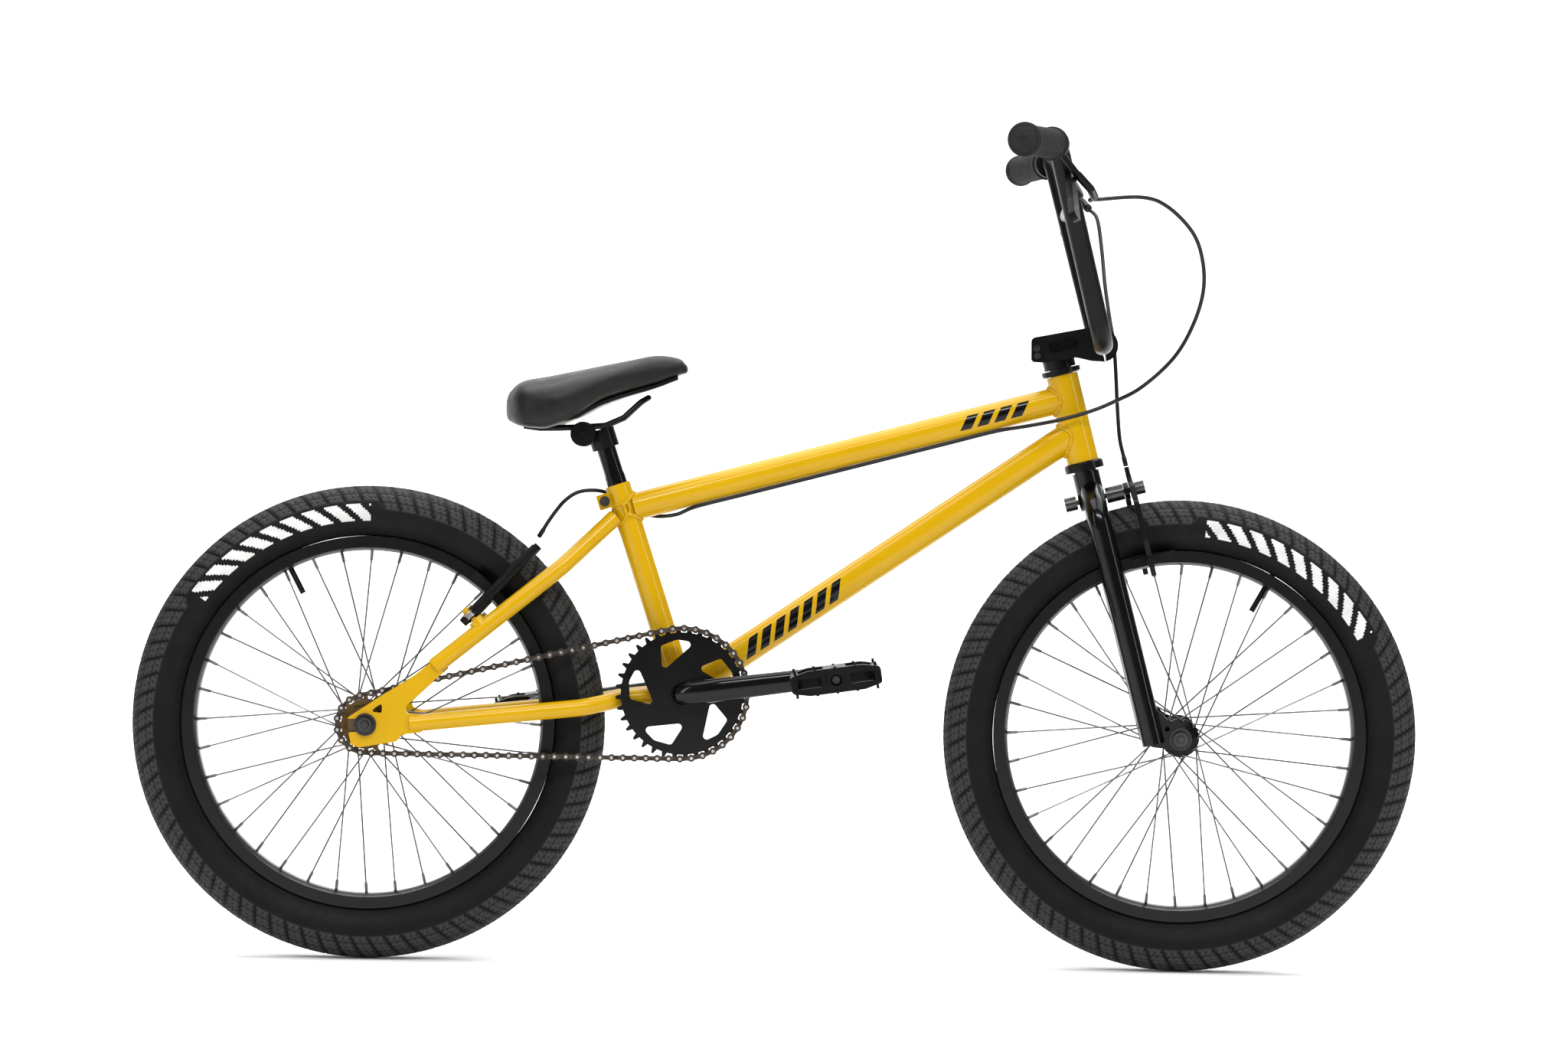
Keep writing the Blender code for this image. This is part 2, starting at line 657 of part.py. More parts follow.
for side in (-1, 1):
    seatstay = bends([
        (-0.3800, side * 0.0555, 0.3300), (-0.2800, side * 0.0440, 0.4112),
        (-0.2400, side * 0.0380, 0.4437), (-0.1830, side * 0.0120, 0.4990),
    ], [0.08, 0.05], 3)
    join(frame, swept(seatstay, circle(0.0095, 8)))
    chainstay = bends([
        (-0.4060, side * 0.0560, 0.2665), (-0.2150, side * 0.0460, 0.2872),
        (-0.1700, side * 0.0270, 0.2968), (-0.1100, side * 0.0215, 0.3040),
    ], [0.04, 0.04], 3)
    join(frame, swept(chainstay, circle(0.0095, 8)))
    outline = rounded([
        (-0.4742, 0.2727, 0.003), (-0.4742, 0.2712, 0), (-0.4500, 0.2712, 0), (-0.4430, 0.2685, 0.002),
        (-0.4430, 0.2600, 0.002), (-0.4500, 0.2578, 0), (-0.4735, 0.2560, 0.002),
        (-0.4700, 0.2420, 0.006),
        (-0.4610, 0.2395, 0.004), (-0.4195, 0.2468, 0.004), (-0.4140, 0.2545, 0.003),
        (-0.3920, 0.2575, 0),
        (-0.3920, 0.2760, 0), (-0.4180, 0.2790, 0.006), (-0.3700, 0.3240, 0), (-0.3800, 0.3380, 0),
        (-0.4060, 0.3170, 0.004), (-0.4359, 0.2985, 0.006),
    ], 2)
    window = rounded([(-0.4500, 0.2795, 0.002), (-0.4370, 0.2780, 0.002), (-0.4360, 0.2900, 0.002)], 1)
    join(frame, plate(outline, [window], 0.0055, Vector((0.0, side * 0.05775, 0.0)), X, Z))
    boss_way = Vector((-0.735, 0.0, 0.678))
    stay_point = Vector((-0.3260, side * 0.0494, 0.3740))
    join(frame, rod(stay_point, stay_point + boss_way * 0.0135, 0.0085, 10))
    join(frame, rod(stay_point + boss_way * 0.010, stay_point + boss_way * 0.0300, 0.0039, 10))
lug = SEAT_TOP - SEAT_UP * 0.0140 - SEAT_FORWARD * 0.0190
join(frame, box(lug, SEAT_FORWARD, SEAT_UP, (0.016, 0.017, 0.017)))
for guide_x, guide_z in ((0.2426, 0.6084), (0.0700, 0.5616), (-0.0920, 0.5178)):
    below = Vector((guide_x, -0.0030, guide_z))
    join(frame, box(below, top_way, Vector((-0.26, 0.0, 1.0)), (0.012, 0.0075, 0.004)))
cut(frame, rod(HEAD_FOOT - HEAD_UP * 0.01, HEAD_TOP + HEAD_UP * 0.01, 0.0158, 16))
cut(frame, rod(BB_CENTRE + SEAT_UP * 0.060, SEAT_TOP + SEAT_UP * 0.02, 0.0119, 16))
cut(frame, rod(BB_CENTRE - LEFT * 0.05, BB_CENTRE + LEFT * 0.05, 0.0255, 16))
cut(frame, box(lug - SEAT_FORWARD * 0.001, SEAT_FORWARD, SEAT_UP, (0.026, 0.060, 0.0022)))
cut(frame, rod(lug - LEFT * 0.02, lug + LEFT * 0.02, 0.0033, 8))

bolt = [
    (0, -0.0155), (0.0058, -0.0155), (0.0058, -0.0089), (0.0029, -0.0089), (0.0029, 0.0088),
    (0.0052, 0.0089), (0.0052, 0.0135), (0, 0.0135),
]
place("seat_clamp_bolt", turned(bolt, lug, LEFT, 10), STEEL)
for side, name in ((-1, "right"), (1, "left")):
    cup = [
        (0.0104, 0.0200), (0.0240, 0.0200), (0.0240, 0.0343),
        (0.0262, 0.0345), (0.0262, 0.0385), (0.0104, 0.0385),
    ]
    place("bb_cup_" + name, turned(cup, BB_CENTRE, LEFT * side, 16), SATIN_BLACK)
upper = [(0.0133, 0.0503), (0.0200, 0.0503), (0.0220, 0.0520), (0.0220, 0.0570), (0.0133, 0.0570)]
place("headset_cup_upper", turned(upper, HEAD_CENTRE, HEAD_UP, 16), SATIN_BLACK)
lower = [(0.0133, -0.0600), (0.0220, -0.0600), (0.0220, -0.0520), (0.0200, -0.0503), (0.0133, -0.0503)]
place("headset_cup_lower", turned(lower, HEAD_CENTRE, HEAD_UP, 16), SATIN_BLACK)


# Seat
pivot("seatpost_axis", SEAT_TOP)
SADDLE_CLAMP = SEAT_TOP + SEAT_UP * 0.0585
post_low = SEAT_TOP - SEAT_UP * 0.120
post = [
    (0, 0), (0.0115, 0), (0.0115, 0.1290), (0.0108, 0.1330), (0.0108, 0.1775), (0, 0.1775),
]
place("seatpost", turned(post, post_low, SEAT_UP, 16), GLOSS_BLACK, "seatpost_axis")
clamp = bored(SADDLE_CLAMP - SEAT_UP * 0.0160, SADDLE_CLAMP + SEAT_UP * 0.0060, 0.0155, 0.0112, 12)
clamp_obj = place("saddle_clamp", clamp, SATIN_BLACK, "seatpost_axis")
RAIL_CLAMP = Vector((-0.2200, 0.0, 0.5920))
join(clamp_obj, rod(RAIL_CLAMP - LEFT * 0.0140, RAIL_CLAMP + LEFT * 0.0140, 0.0090, 8), "seatpost_axis")
for side in (-1, 1):
    near = RAIL_CLAMP + LEFT * (side * 0.0135)
    join(clamp_obj, rod(near, near + LEFT * (side * 0.0035), 0.0140, 10), "seatpost_axis")
    far = RAIL_CLAMP + LEFT * (side * 0.0262)
    join(clamp_obj, rod(near, far + LEFT * (side * 0.0070), 0.0040, 6), "seatpost_axis")
    join(clamp_obj, rod(far, far + LEFT * (side * 0.0035), 0.0140, 10), "seatpost_axis")
cut(clamp_obj, rod(post_low, post_low + SEAT_UP * 0.1778, 0.0112, 12), "seatpost_axis")

SADDLE_SPINE = (  # X, underside, top, half width
    (-0.3050, 0.6130, 0.6400, 0.040), (-0.2900, 0.6090, 0.6500, 0.066),
    (-0.2600, 0.6070, 0.6560, 0.078),
    (-0.2300, 0.6130, 0.6625, 0.076), (-0.1980, 0.6290, 0.6695, 0.060),
    (-0.1700, 0.6395, 0.6755, 0.040),
    (-0.1400, 0.6490, 0.6815, 0.027), (-0.1150, 0.6590, 0.6790, 0.020),
    (-0.1060, 0.6620, 0.6720, 0.013),
)


def loft_sections(spine, lift, drop, narrow, into):
    """Rings across the saddle: flat underside, crowned top."""
    rings = []
    for x, low, high, half in spine:
        half -= narrow
        low += lift
        high -= drop
        ring = []
        for turn in (0, 25, 55, 90, 125, 155, 180):
            angle = math.radians(turn)
            y = half * math.cos(angle)
            z = low + (high - low) * (0.25 + 0.75 * math.sin(angle))
            ring.append(into.verts.new((x, y, z)))
        ring.append(into.verts.new((x, -half * 0.9, low)))
        ring.append(into.verts.new((x, half * 0.9, low)))
        rings.append(ring)
    skin(into, rings)
    into.faces.new(rings[0])
    into.faces.new(rings[-1])
    return into


cover = loft_sections(SADDLE_SPINE, 0.0, 0.0, 0.0, bmesh.new())
place("saddle_cover", cover, SADDLE_BLACK, "seatpost_axis", sharp=50)
base_spine = [(x, low - 0.0043, low - 0.0003, half) for x, low, high, half in SADDLE_SPINE[1:-1]]
base = bmesh.new()
base_rings = []
for x, low, high, half in base_spine:
    corners = ((-1, low), (1, low), (1, high), (-1, high))
    ring = [base.verts.new((x, side * half * 0.86, z)) for side, z in corners]
    base_rings.append(ring)
skin(base, base_rings)
base.faces.new(base_rings[0])
base.faces.new(base_rings[-1])
place("saddle_base", base, PLASTIC, "seatpost_axis")
rail = []
for x, y, z in (
    (-0.2860, -0.0330, 0.6000), (-0.2700, -0.0320, 0.5980), (-0.2480, -0.0220, 0.5985),
    (-0.2200, -0.0215, 0.5998), (-0.1950, -0.0215, 0.6020), (-0.1750, -0.0190, 0.6110),
    (-0.1560, -0.0120, 0.6290), (-0.1480, 0.0, 0.6340),
):
    rail.append(Vector((x, y, z)))
rail += [Vector((p.x, -p.y, p.z)) for p in reversed(rail[:-1])]
place("saddle_rails", swept(rail, circle(0.0034, 8), hint=Z), STEEL, "seatpost_axis")


# Fork, in steering coordinates: forward of the axis, left, up from the head tube's centre
steerer = rod(steer(0, 0, -0.0950), steer(0, 0, 0.0945), 0.0127, 16)
fork = place("fork", steerer, GLOSS_BLACK, "steering_axis")
join(fork, rod(steer(0, 0, -0.1040), steer(0, 0, -0.0620), 0.0152, 16), "steering_axis")
for side in (-1, 1):
    leg = bends([
        steer(0.0015, side * 0.0100, -0.0850), steer(0.0015, side * 0.0480, -0.1080),
        steer(0.0015, side * 0.0530, -0.3740),
    ], [0.035], 5)
    join(fork, swept(leg, circle(0.0127, 8)), "steering_axis")
    outline = rounded([
        (0.4274, 0.2983, 0), (0.4400, 0.2870, 0.004), (0.4600, 0.2790, 0.010), (0.4700, 0.2650, 0.010),
        (0.4600, 0.2520, 0.008), (0.4248, 0.2552, 0.004), (0.4120, 0.2600, 0), (0.4120, 0.2850, 0),
    ], 2)
    tip_plane = Vector((0.0, side * 0.0526, 0.0))
    tip = plate(outline, [disc(0.0030, 8, (0.4400, 0.2760))], 0.0046, tip_plane, X, Z)
    join(fork, tip, "steering_axis")
    slot = box(FRONT_AXLE + LEFT * (side * 0.0526) - HEAD_UP * 0.012, X, LEFT, (0.0104, 0.012, 0.024))
    cut(fork, slot, "steering_axis")
    hole = rod(FRONT_AXLE + LEFT * (side * 0.045), FRONT_AXLE + LEFT * (side * 0.060), 0.0053, 12)
    cut(fork, hole, "steering_axis")
    spot_face = rod(FRONT_AXLE + LEFT * (side * 0.0553), FRONT_AXLE + LEFT * (side * 0.070), 0.0135, 16)
    cut(fork, spot_face, "steering_axis")
cut(fork, rod(steer(-0.04, 0, -0.0935), steer(0.04, 0, -0.0935), 0.0034, 10), "steering_axis")

# Stem and its faceplate
bar_at = (0.0505, 0.0718)
outline = rounded([
    (-0.0300, 0.0725, 0.004), (-0.0235, 0.0985, 0.005), (0.0400, 0.0945, 0.008), (0.0500, 0.0905, 0),
    (0.0500, 0.0531, 0), (0.0360, 0.0575, 0.006), (0.0200, 0.0655, 0.006), (-0.0142, 0.0677, 0.004),
], 2)
stem_body = plate(outline, [], 0.048, HEAD_CENTRE, HEAD_FORWARD, HEAD_UP)
stem = place("stem", stem_body, SATIN_BLACK, "steering_axis")
join(stem, rod(steer(0, 0, 0.0576), steer(0, 0, 0.0720), 0.0180, 16), "steering_axis")
cut(stem, rod(steer(0, 0, 0.0500), steer(0, 0, 0.0948), 0.0132, 16), "steering_axis")
bar_bore = rod(steer(bar_at[0], -0.03, bar_at[1]), steer(bar_at[0], 0.03, bar_at[1]), 0.0114, 16)
cut(stem, bar_bore, "steering_axis")
window = rounded([
    (-0.007, 0.0765, 0.004), (0.026, 0.0765, 0.004), (0.026, 0.0880, 0.004), (-0.007, 0.0880, 0.004),
], 2)
cut(stem, plate(window, [], 0.06, HEAD_CENTRE, HEAD_FORWARD, HEAD_UP), "steering_axis")
cut(stem, box(steer(-0.0230, 0, 0.082), HEAD_FORWARD, HEAD_UP, (0.022, 0.05, 0.002)), "steering_axis")
face = []
for i in range(13):
    angle = math.radians(90 - 15 * i)
    face.append((bar_at[0] + 0.0012 + 0.0175 * math.cos(angle), bar_at[1] + 0.0187 * math.sin(angle)))
for i in range(11):
    angle = math.radians(-80 + 16 * i)
    face.append((bar_at[0] + 0.0114 * math.cos(angle), bar_at[1] + 0.0114 * math.sin(angle)))
faceplate = plate(face, [], 0.046, HEAD_CENTRE, HEAD_FORWARD, HEAD_UP)
place("stem_faceplate", faceplate, SATIN_BLACK, "steering_axis")
for name, forward, up in (("upper", -0.0206, 0.0857), ("lower", -0.0219, 0.0773)):
    centre = steer(forward, 0, up)
    cut(stem, rod(centre - LEFT * 0.03, centre + LEFT * 0.03, 0.0022, 8), "steering_axis")
    bolt = [
        (0, -0.0280), (0.0039, -0.0280), (0.0039, -0.0243), (0.0019, -0.0243), (0.0019, 0.0250),
        (0, 0.0250),
    ]
    place("stem_pinch_bolt_" + name, turned(bolt, centre, LEFT, 8), STEEL, "steering_axis")

# Handlebar, grips and brake levers
LOWER_BEND = Vector((0.3593, 0.115, 0.702))
UPPER_BEND = Vector((0.3040, 0.200, 0.916))
GRIP_WAY = (Vector((0.2655, 0.356, 0.913)) - UPPER_BEND).normalized()
BAR_END = UPPER_BEND + GRIP_WAY * 0.1565
CROSSBAR = LOWER_BEND.lerp(UPPER_BEND, 0.703)
half = [LOWER_BEND, UPPER_BEND, BAR_END]
corners = mirrored(reversed(half)) + half
bar_line = bends(corners, [0.022, 0.045, 0.045, 0.022], 4)
bar = place("handlebar", swept(bar_line, circle(BAR_RADIUS, 12)), SATIN_BLACK,
            "steering_axis")
join(bar, rod(mirrored([CROSSBAR])[0], CROSSBAR, 0.0080, 12), "steering_axis")


def to_side(point, side):
    return Vector((point.x, point.y * side, point.z))


grip = [
    (0.0116, 0), (0.0185, 0), (0.0185, 0.0035), (0.0158, 0.0060), (0.0162, 0.0650), (0.0165, 0.1210),
    (0.0185, 0.1240), (0.0185, 0.1290), (0.0133, 0.1335), (0, 0.1335), (0, 0.1302), (0.0116, 0.1302),
]
lever_axis = {}
lever_barrel = {}
for side, name in ((-1, "right"), (1, "left")):
    way = to_side(GRIP_WAY, side)
    start = to_side(UPPER_BEND + GRIP_WAY * 0.0268, side)
    place("grip_" + name, turned(grip, start, way, 12), GRIP_BLACK, "steering_axis")
    ring_at = start - way * 0.0062
    hinge = Vector((0.3190, side * 0.2050, 0.8770))
    blade = (Vector((0.3180, side * 0.3100, 0.8380)) - hinge).normalized()
    pull = Vector((-0.4745, 0.0, 0.8800))
    pull = (pull - blade * pull.dot(blade)).normalized()
    axis = blade.cross(pull)
    lever_axis[name] = (hinge, axis)
    pivot("brake_lever_axis_" + name, hinge, "steering_axis")
    cheek = hinge + axis * (0.0098 * side)
    ring = bored(ring_at - way * 0.0050, ring_at + way * 0.0050, 0.0165, 0.0122, 12)
    clamp_obj = place("lever_clamp_" + name, ring, PLASTIC, "steering_axis")
    foot = ring_at + (cheek - ring_at).normalized() * 0.0165
    arm = swept([foot, cheek.lerp(foot, 0.4), cheek], circle(0.0060, 8, 0.0036), hint=way)
    join(clamp_obj, arm, "steering_axis")
    barrel = Vector((0.3450, side * 0.1650, 0.8620))
    knee = Vector((0.3400, side * 0.1960, 0.8690))
    cable_arm = swept([cheek - (knee - cheek) * 0.15, knee, barrel], circle(0.0046, 8))
    join(clamp_obj, cable_arm, "steering_axis")
    lever_barrel[name] = (barrel, (barrel - knee).normalized())
    join(clamp_obj, rod(hinge - axis * (side * 0.0052), cheek, 0.0028, 8), "steering_axis")
    outline = rounded([
        (-0.0080, -0.0200, 0.003), (0.0040, -0.0220, 0.004), (0.0120, -0.0070, 0.006),
        (0.0600, -0.0100, 0.05),
        (0.1030, -0.0140, 0.004), (0.1120, -0.0080, 0.004), (0.1100, 0.0000, 0.004),
        (0.0620, 0.0020, 0.05),
        (0.0140, 0.0070, 0.01), (-0.0060, 0.0070, 0.004),
    ], 2)
    lever = plate(outline, [disc(0.0033, 8)], 0.0072, hinge, blade, pull)
    place("brake_lever_" + name, lever, PLASTIC, "brake_lever_axis_" + name)

# Front caliper: two arms on one bolt through the crown
bolt = [
    (0, -0.0310), (0.0080, -0.0310), (0.0080, -0.0175), (0.0030, -0.0175), (0.0030, 0.0165),
    (0.0090, 0.0165),
    (0.0090, 0.0363), (0.0030, 0.0363), (0.0030, 0.0500), (0.0075, 0.0500), (0.0075, 0.0605),
    (0, 0.0605),
]
place("front_brake_bolt", turned(bolt, steer(0, 0, -0.0935), HEAD_FORWARD, 12), STEEL, "steering_axis")
for side, name, layer in ((1, "left", 0.0399), (-1, "right", 0.0465)):
    pivot("front_brake_axis_" + name, steer(layer, 0, -0.0935), "steering_axis")
    on = "front_brake_axis_" + name
    outline = [
        (-0.0080, -0.0890, 0.003), (0.0060, -0.0840, 0.004), (0.0300, -0.0880, 0.010),
        (0.0460, -0.1050, 0.012),
        (0.0480, -0.1500, 0.03), (0.0440, -0.1920, 0.003), (0.0365, -0.1920, 0.003),
        (0.0380, -0.1500, 0.03),
        (0.0355, -0.1180, 0.008), (0.0220, -0.1030, 0.010), (0.0, -0.1030, 0.004),
        (-0.0080, -0.0980, 0.003),
    ]
    points = rounded([(y * side, up, soft) for y, up, soft in outline], 2)
    arm = plate(points, [disc(0.0034, 10, (0.0, -0.0935))], 0.0058, steer(layer, 0, 0) , LEFT, HEAD_UP)
    arm_obj = place("front_brake_arm_" + name, arm, SATIN_BLACK, on)
    if name == "right":
        ear = rounded([
            (-0.0040, -0.0870, 0.0), (0.0060, -0.0860, 0.0), (0.0240, -0.0790, 0.004),
            (0.0345, -0.0760, 0.002),
            (0.0345, -0.0830, 0.002), (0.0240, -0.0880, 0.004), (0.0060, -0.0945, 0.0),
            (0.0045, -0.0930, 0.0),
        ], 1)
        join(arm_obj, plate(ear, [], 0.0058, steer(layer, 0, 0), LEFT, HEAD_UP), on)
        join(arm_obj, rod(steer(layer, 0.0300, -0.0800), steer(layer, 0.0300, -0.0680), 0.0028, 8), on)
    stud = steer(layer, side * 0.0280, -0.1750)
    pad_nut = rod(steer(layer, side * 0.0400, -0.1750), steer(layer, side * 0.0510, -0.1750), 0.0055, 6)
    join(arm_obj, pad_nut, on)
    pad_middle = steer(layer + 0.004, side * 0.0230, -0.1745)
    pad = box(pad_middle, HEAD_FORWARD, HEAD_UP, (0.0500, 0.0100, 0.0090))
    pad_obj = place("front_brake_pad_" + name, pad, TYRE_BLACK, on)
    join(pad_obj, rod(stud - LEFT * (side * 0.003), steer(layer, side * 0.0358, -0.1750), 0.0040, 8), on)

# Rear linear-pull brake on the seatstay bosses
arm_way = Vector((0.678, 0.0, 0.735))
for side, name in ((-1, "right"), (1, "left")):
    base = Vector((-0.3260, side * 0.0494, 0.3740))
    hinge = base + boss_way * 0.0205
    on = "rear_brake_axis_" + name
    pivot(on, hinge)
    points = []
    for along, y in (
        (-0.0120, 0.0494), (0.0, 0.0494), (0.0300, 0.0450), (0.0600, 0.0420), (0.0920, 0.0405),
        (0.1050, 0.0395),
    ):
        points.append(Vector((0, side * y, 0)) + Vector((hinge.x, 0, hinge.z)) + arm_way * along)
    scales = [(0.7, 0.7), (0.92, 1.1), (0.92, 1.0), (0.9, 0.9), (0.8, 0.8), (0.7, 0.7)]
    arm = swept(points, circle(0.0068, 10, 0.0055), boss_way, scales=scales)
    arm_obj = place("rear_brake_arm_" + name, arm,
                    PLASTIC, on)
    cut(arm_obj, rod(base, base + boss_way * 0.05, 0.0044, 10), on)
    stud = Vector((hinge.x, side * 0.0450, hinge.z)) + arm_way * 0.0314
    join(arm_obj, rod(stud, stud + LEFT * (side * 0.0110), 0.0060, 6), on)
    radial = Vector((stud.x - REAR_AXLE.x, 0, stud.z - REAR_AXLE.z)).normalized()
    rim_track = REAR_AXLE + radial * 0.2020 + LEFT * (side * 0.0235)
    pad = box(rim_track, radial.cross(LEFT), radial, (0.0600, 0.0105, 0.0100))
    pad_obj = place("rear_brake_pad_" + name, pad,
                    TYRE_BLACK, on)
    foot = Vector((stud.x, side * 0.0270, stud.z))
    join(pad_obj, rod(foot, Vector((stud.x, side * 0.0375, stud.z)), 0.0045, 8), on)


# Cables, each one housing from its lever to its brake
steering_turn = Matrix.Rotation(math.radians(STEER_REST), 4, HEAD_UP)


def when_steered(point):
    return HEAD_CENTRE + steering_turn @ (point - HEAD_CENTRE)


def cable(name, points, on=None):
    """A round housing along a smooth curve through its route."""
    data = bpy.data.curves.new(name, "CURVE")
    data.dimensions = "3D"
    data.bevel_depth = 0.0023
    data.bevel_resolution = 2
    data.resolution_u = 1
    data.use_fill_caps = True
    spline = data.splines.new("POLY")
    base = pivots[on][1] if on else Vector()
    spline.points.add(len(points) - 1)
    for knot, point in zip(spline.points, points):
        knot.co = (*(point - base), 1.0)
    data.materials.append(CABLE_BLACK)
    obj = bpy.data.objects.new(name, data)
    bpy.context.scene.collection.objects.link(obj)
    if on:
        obj.parent = pivots[on][0]


barrel, way = lever_barrel["left"]
front_route = [
    barrel + way * 0.0006, barrel + way * 0.0070,
    steer(0.0840, 0.1420, 0.2150), steer(0.0800, 0.1200, 0.1780),
    steer(0.0735, 0.0930, 0.1389), steer(0.0690, 0.0700, 0.1000), steer(0.0665, 0.0560, 0.0720),
    steer(0.0610, 0.0480, 0.0400), steer(0.0530, 0.0400, 0.0002), steer(0.0470, 0.0330, -0.0350),
    steer(0.0465, 0.0302, -0.0570), steer(0.0465, 0.0300, -0.0672),
]
cable("front_brake_cable", curved(front_route, 3), "steering_axis")


def under_top_tube(x, y):
    return Vector((x, y, 0.5142 + 0.2705 * (x + 0.1517) - 0.0173))


barrel, way = lever_barrel["right"]
rear_route = [when_steered(barrel + way * 0.0012), when_steered(barrel + way * 0.0120)]
for x, y, z in (
    (0.3890, -0.1320, 0.8620), (0.4200, -0.1100, 0.8540), (0.4504, -0.0850, 0.8285),
    (0.4644, -0.0660, 0.8004),
    (0.4681, -0.0530, 0.7650), (0.4586, -0.0430, 0.7267), (0.4380, -0.0370, 0.6890),
    (0.4031, -0.0330, 0.6557),
    (0.3720, -0.0300, 0.6385), (0.3447, -0.0290, 0.6270), (0.3105, -0.0270, 0.6170),
    (0.2770, -0.0170, 0.6100),
):
    rear_route.append(Vector((x, y, z)))
for x in (0.2426, 0.1870, 0.1310, 0.0750, 0.0190, -0.0370, -0.0920):
    rear_route.append(under_top_tube(x, -0.0085))
for x, y, z in (
    (-0.1150, 0.0000, 0.5035), (-0.1400, 0.0130, 0.5015), (-0.1620, 0.0205, 0.5085),
    (-0.1800, 0.0225, 0.5195),
    (-0.1960, 0.0220, 0.5275), (-0.2120, 0.0200, 0.5290), (-0.2270, 0.0175, 0.5260),
    (-0.2400, 0.0160, 0.5170),
    (-0.2500, 0.0158, 0.5050), (-0.2590, 0.0180, 0.4920), (-0.2650, 0.0205, 0.4820),
    (-0.2690, 0.0225, 0.4755),
):
    rear_route.append(Vector((x, y, z)))
cable("rear_brake_cable", curved(rear_route, 2))
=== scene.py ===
from math import asin, atan2, copysign, cos, degrees, pi, radians, sin, sqrt, tan

import bpy
import bmesh
import numpy as np
from mathutils import Matrix, Vector
from mathutils.geometry import tessellate_polygon


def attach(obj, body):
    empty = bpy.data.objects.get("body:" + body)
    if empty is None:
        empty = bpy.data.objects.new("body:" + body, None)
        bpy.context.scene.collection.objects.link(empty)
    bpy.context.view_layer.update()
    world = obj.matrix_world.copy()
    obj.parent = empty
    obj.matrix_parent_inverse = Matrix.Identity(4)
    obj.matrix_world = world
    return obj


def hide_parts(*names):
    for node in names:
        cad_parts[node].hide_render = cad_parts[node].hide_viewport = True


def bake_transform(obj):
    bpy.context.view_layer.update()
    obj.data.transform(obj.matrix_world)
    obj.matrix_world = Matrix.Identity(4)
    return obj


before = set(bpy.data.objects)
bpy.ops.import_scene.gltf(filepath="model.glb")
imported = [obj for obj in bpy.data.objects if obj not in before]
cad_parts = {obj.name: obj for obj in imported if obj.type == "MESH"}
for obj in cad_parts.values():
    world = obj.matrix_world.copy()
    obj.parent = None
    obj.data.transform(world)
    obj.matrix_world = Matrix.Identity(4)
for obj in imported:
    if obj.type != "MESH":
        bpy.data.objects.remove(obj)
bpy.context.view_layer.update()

# Wheels
WHEELBASE = 0.91
TYRE_RADIUS = 0.265
TYRE_SECTION = 0.0295
WHEEL_SEGMENTS = 180
SPOKES = 36
SPOKE_SKIP = 60.0  # degrees at the hub between a spoke's two ends, three crossings
HUB_HOLE_RADIUS = 0.019

# Frame
HEAD_LEAN = 14.75
HEAD_CENTRE = Vector((0.3287, 0.0, 0.6197))
HEAD_LENGTH = 0.1
SEAT_LEAN = 18.4
BB_CENTRE = Vector((-0.10396, 0.0, 0.3048))
SEAT_TUBE_LENGTH = 0.244
STEER_REST = -3.3

# Drive
CHAINRING_TEETH = 36
COG_TEETH = 16
CHAIN_PITCH = 0.0127
CHAIN_LINE = -0.045
CRANK_LENGTH = 0.17
CRANK_ANGLE = 8.2

# Bars
BAR_RADIUS = 0.0111


def direction(lean, forward=0.0):
    """Unit vector leaning back from vertical, or square to that, in the X-Z plane."""
    angle = radians(lean + forward)
    return Vector((-sin(angle), 0.0, cos(angle)))


HEAD_UP = direction(HEAD_LEAN)
HEAD_FORWARD = Vector((HEAD_UP.z, 0.0, -HEAD_UP.x))
SEAT_UP = direction(SEAT_LEAN)
SEAT_FORWARD = Vector((SEAT_UP.z, 0.0, -SEAT_UP.x))
LEFT = Vector((0.0, 1.0, 0.0))
REAR_AXLE = Vector((-WHEELBASE / 2, 0.0, TYRE_RADIUS))
FRONT_AXLE = Vector((WHEELBASE / 2, 0.0, TYRE_RADIUS))
SEAT_TOP = BB_CENTRE + SEAT_UP * SEAT_TUBE_LENGTH


def ray(angle):
    """Unit vector in the bike's plane, turned up from straight ahead."""
    return Vector((cos(angle), 0.0, sin(angle)))


def across(axis, hint=None):
    """Two unit vectors square to an axis and to each other."""
    axis = axis.normalized()
    hint = hint or (LEFT if abs(axis.y) < 0.9 else Vector((1.0, 0.0, 0.0)))
    first = (hint - axis * hint.dot(axis)).normalized()
    return first, axis.cross(first)


def skin(bm, rings, loop=False):
    """Join a row of rings, each a list of vertices or a single vertex, with faces."""
    pairs = list(zip(rings, rings[1:]))
    if loop:
        pairs.append((rings[-1], rings[0]))
    for low, high in pairs:
        count = max(len(low), len(high))
        if count == 1:
            continue
        for i in range(count):
            j = (i + 1) % count
            if len(low) == 1:
                bm.faces.new((low[0], high[i], high[j]))
            elif len(high) == 1:
                bm.faces.new((low[i], low[j], high[0]))
            else:
                bm.faces.new((low[i], low[j], high[j], high[i]))
    return bm


def turned(profile, origin, axis, segments, start=None, into=None):
    """Turn a closed profile of (radius, height along the axis); radius 0 makes a pole."""
    bm = into or bmesh.new()
    axis = axis.normalized()
    side, other = across(axis, start)
    rings = []
    for radius, height in profile:
        centre = origin + axis * height
        if radius < 1e-7:
            rings.append([bm.verts.new(centre)])
            continue
        ring = []
        for i in range(segments):
            angle = 2 * pi * i / segments
            ring.append(bm.verts.new(centre + (side * cos(angle) + other * sin(angle)) * radius))
        rings.append(ring)
    return skin(bm, rings, loop=True)


def rod(start, end, radius, sides=12, into=None, end_radius=None):
    """A round bar between two points."""
    length = (end - start).length
    far = radius if end_radius is None else end_radius
    return turned([(0, 0), (radius, 0), (far, length), (0, length)], start, end - start, sides, into=into)


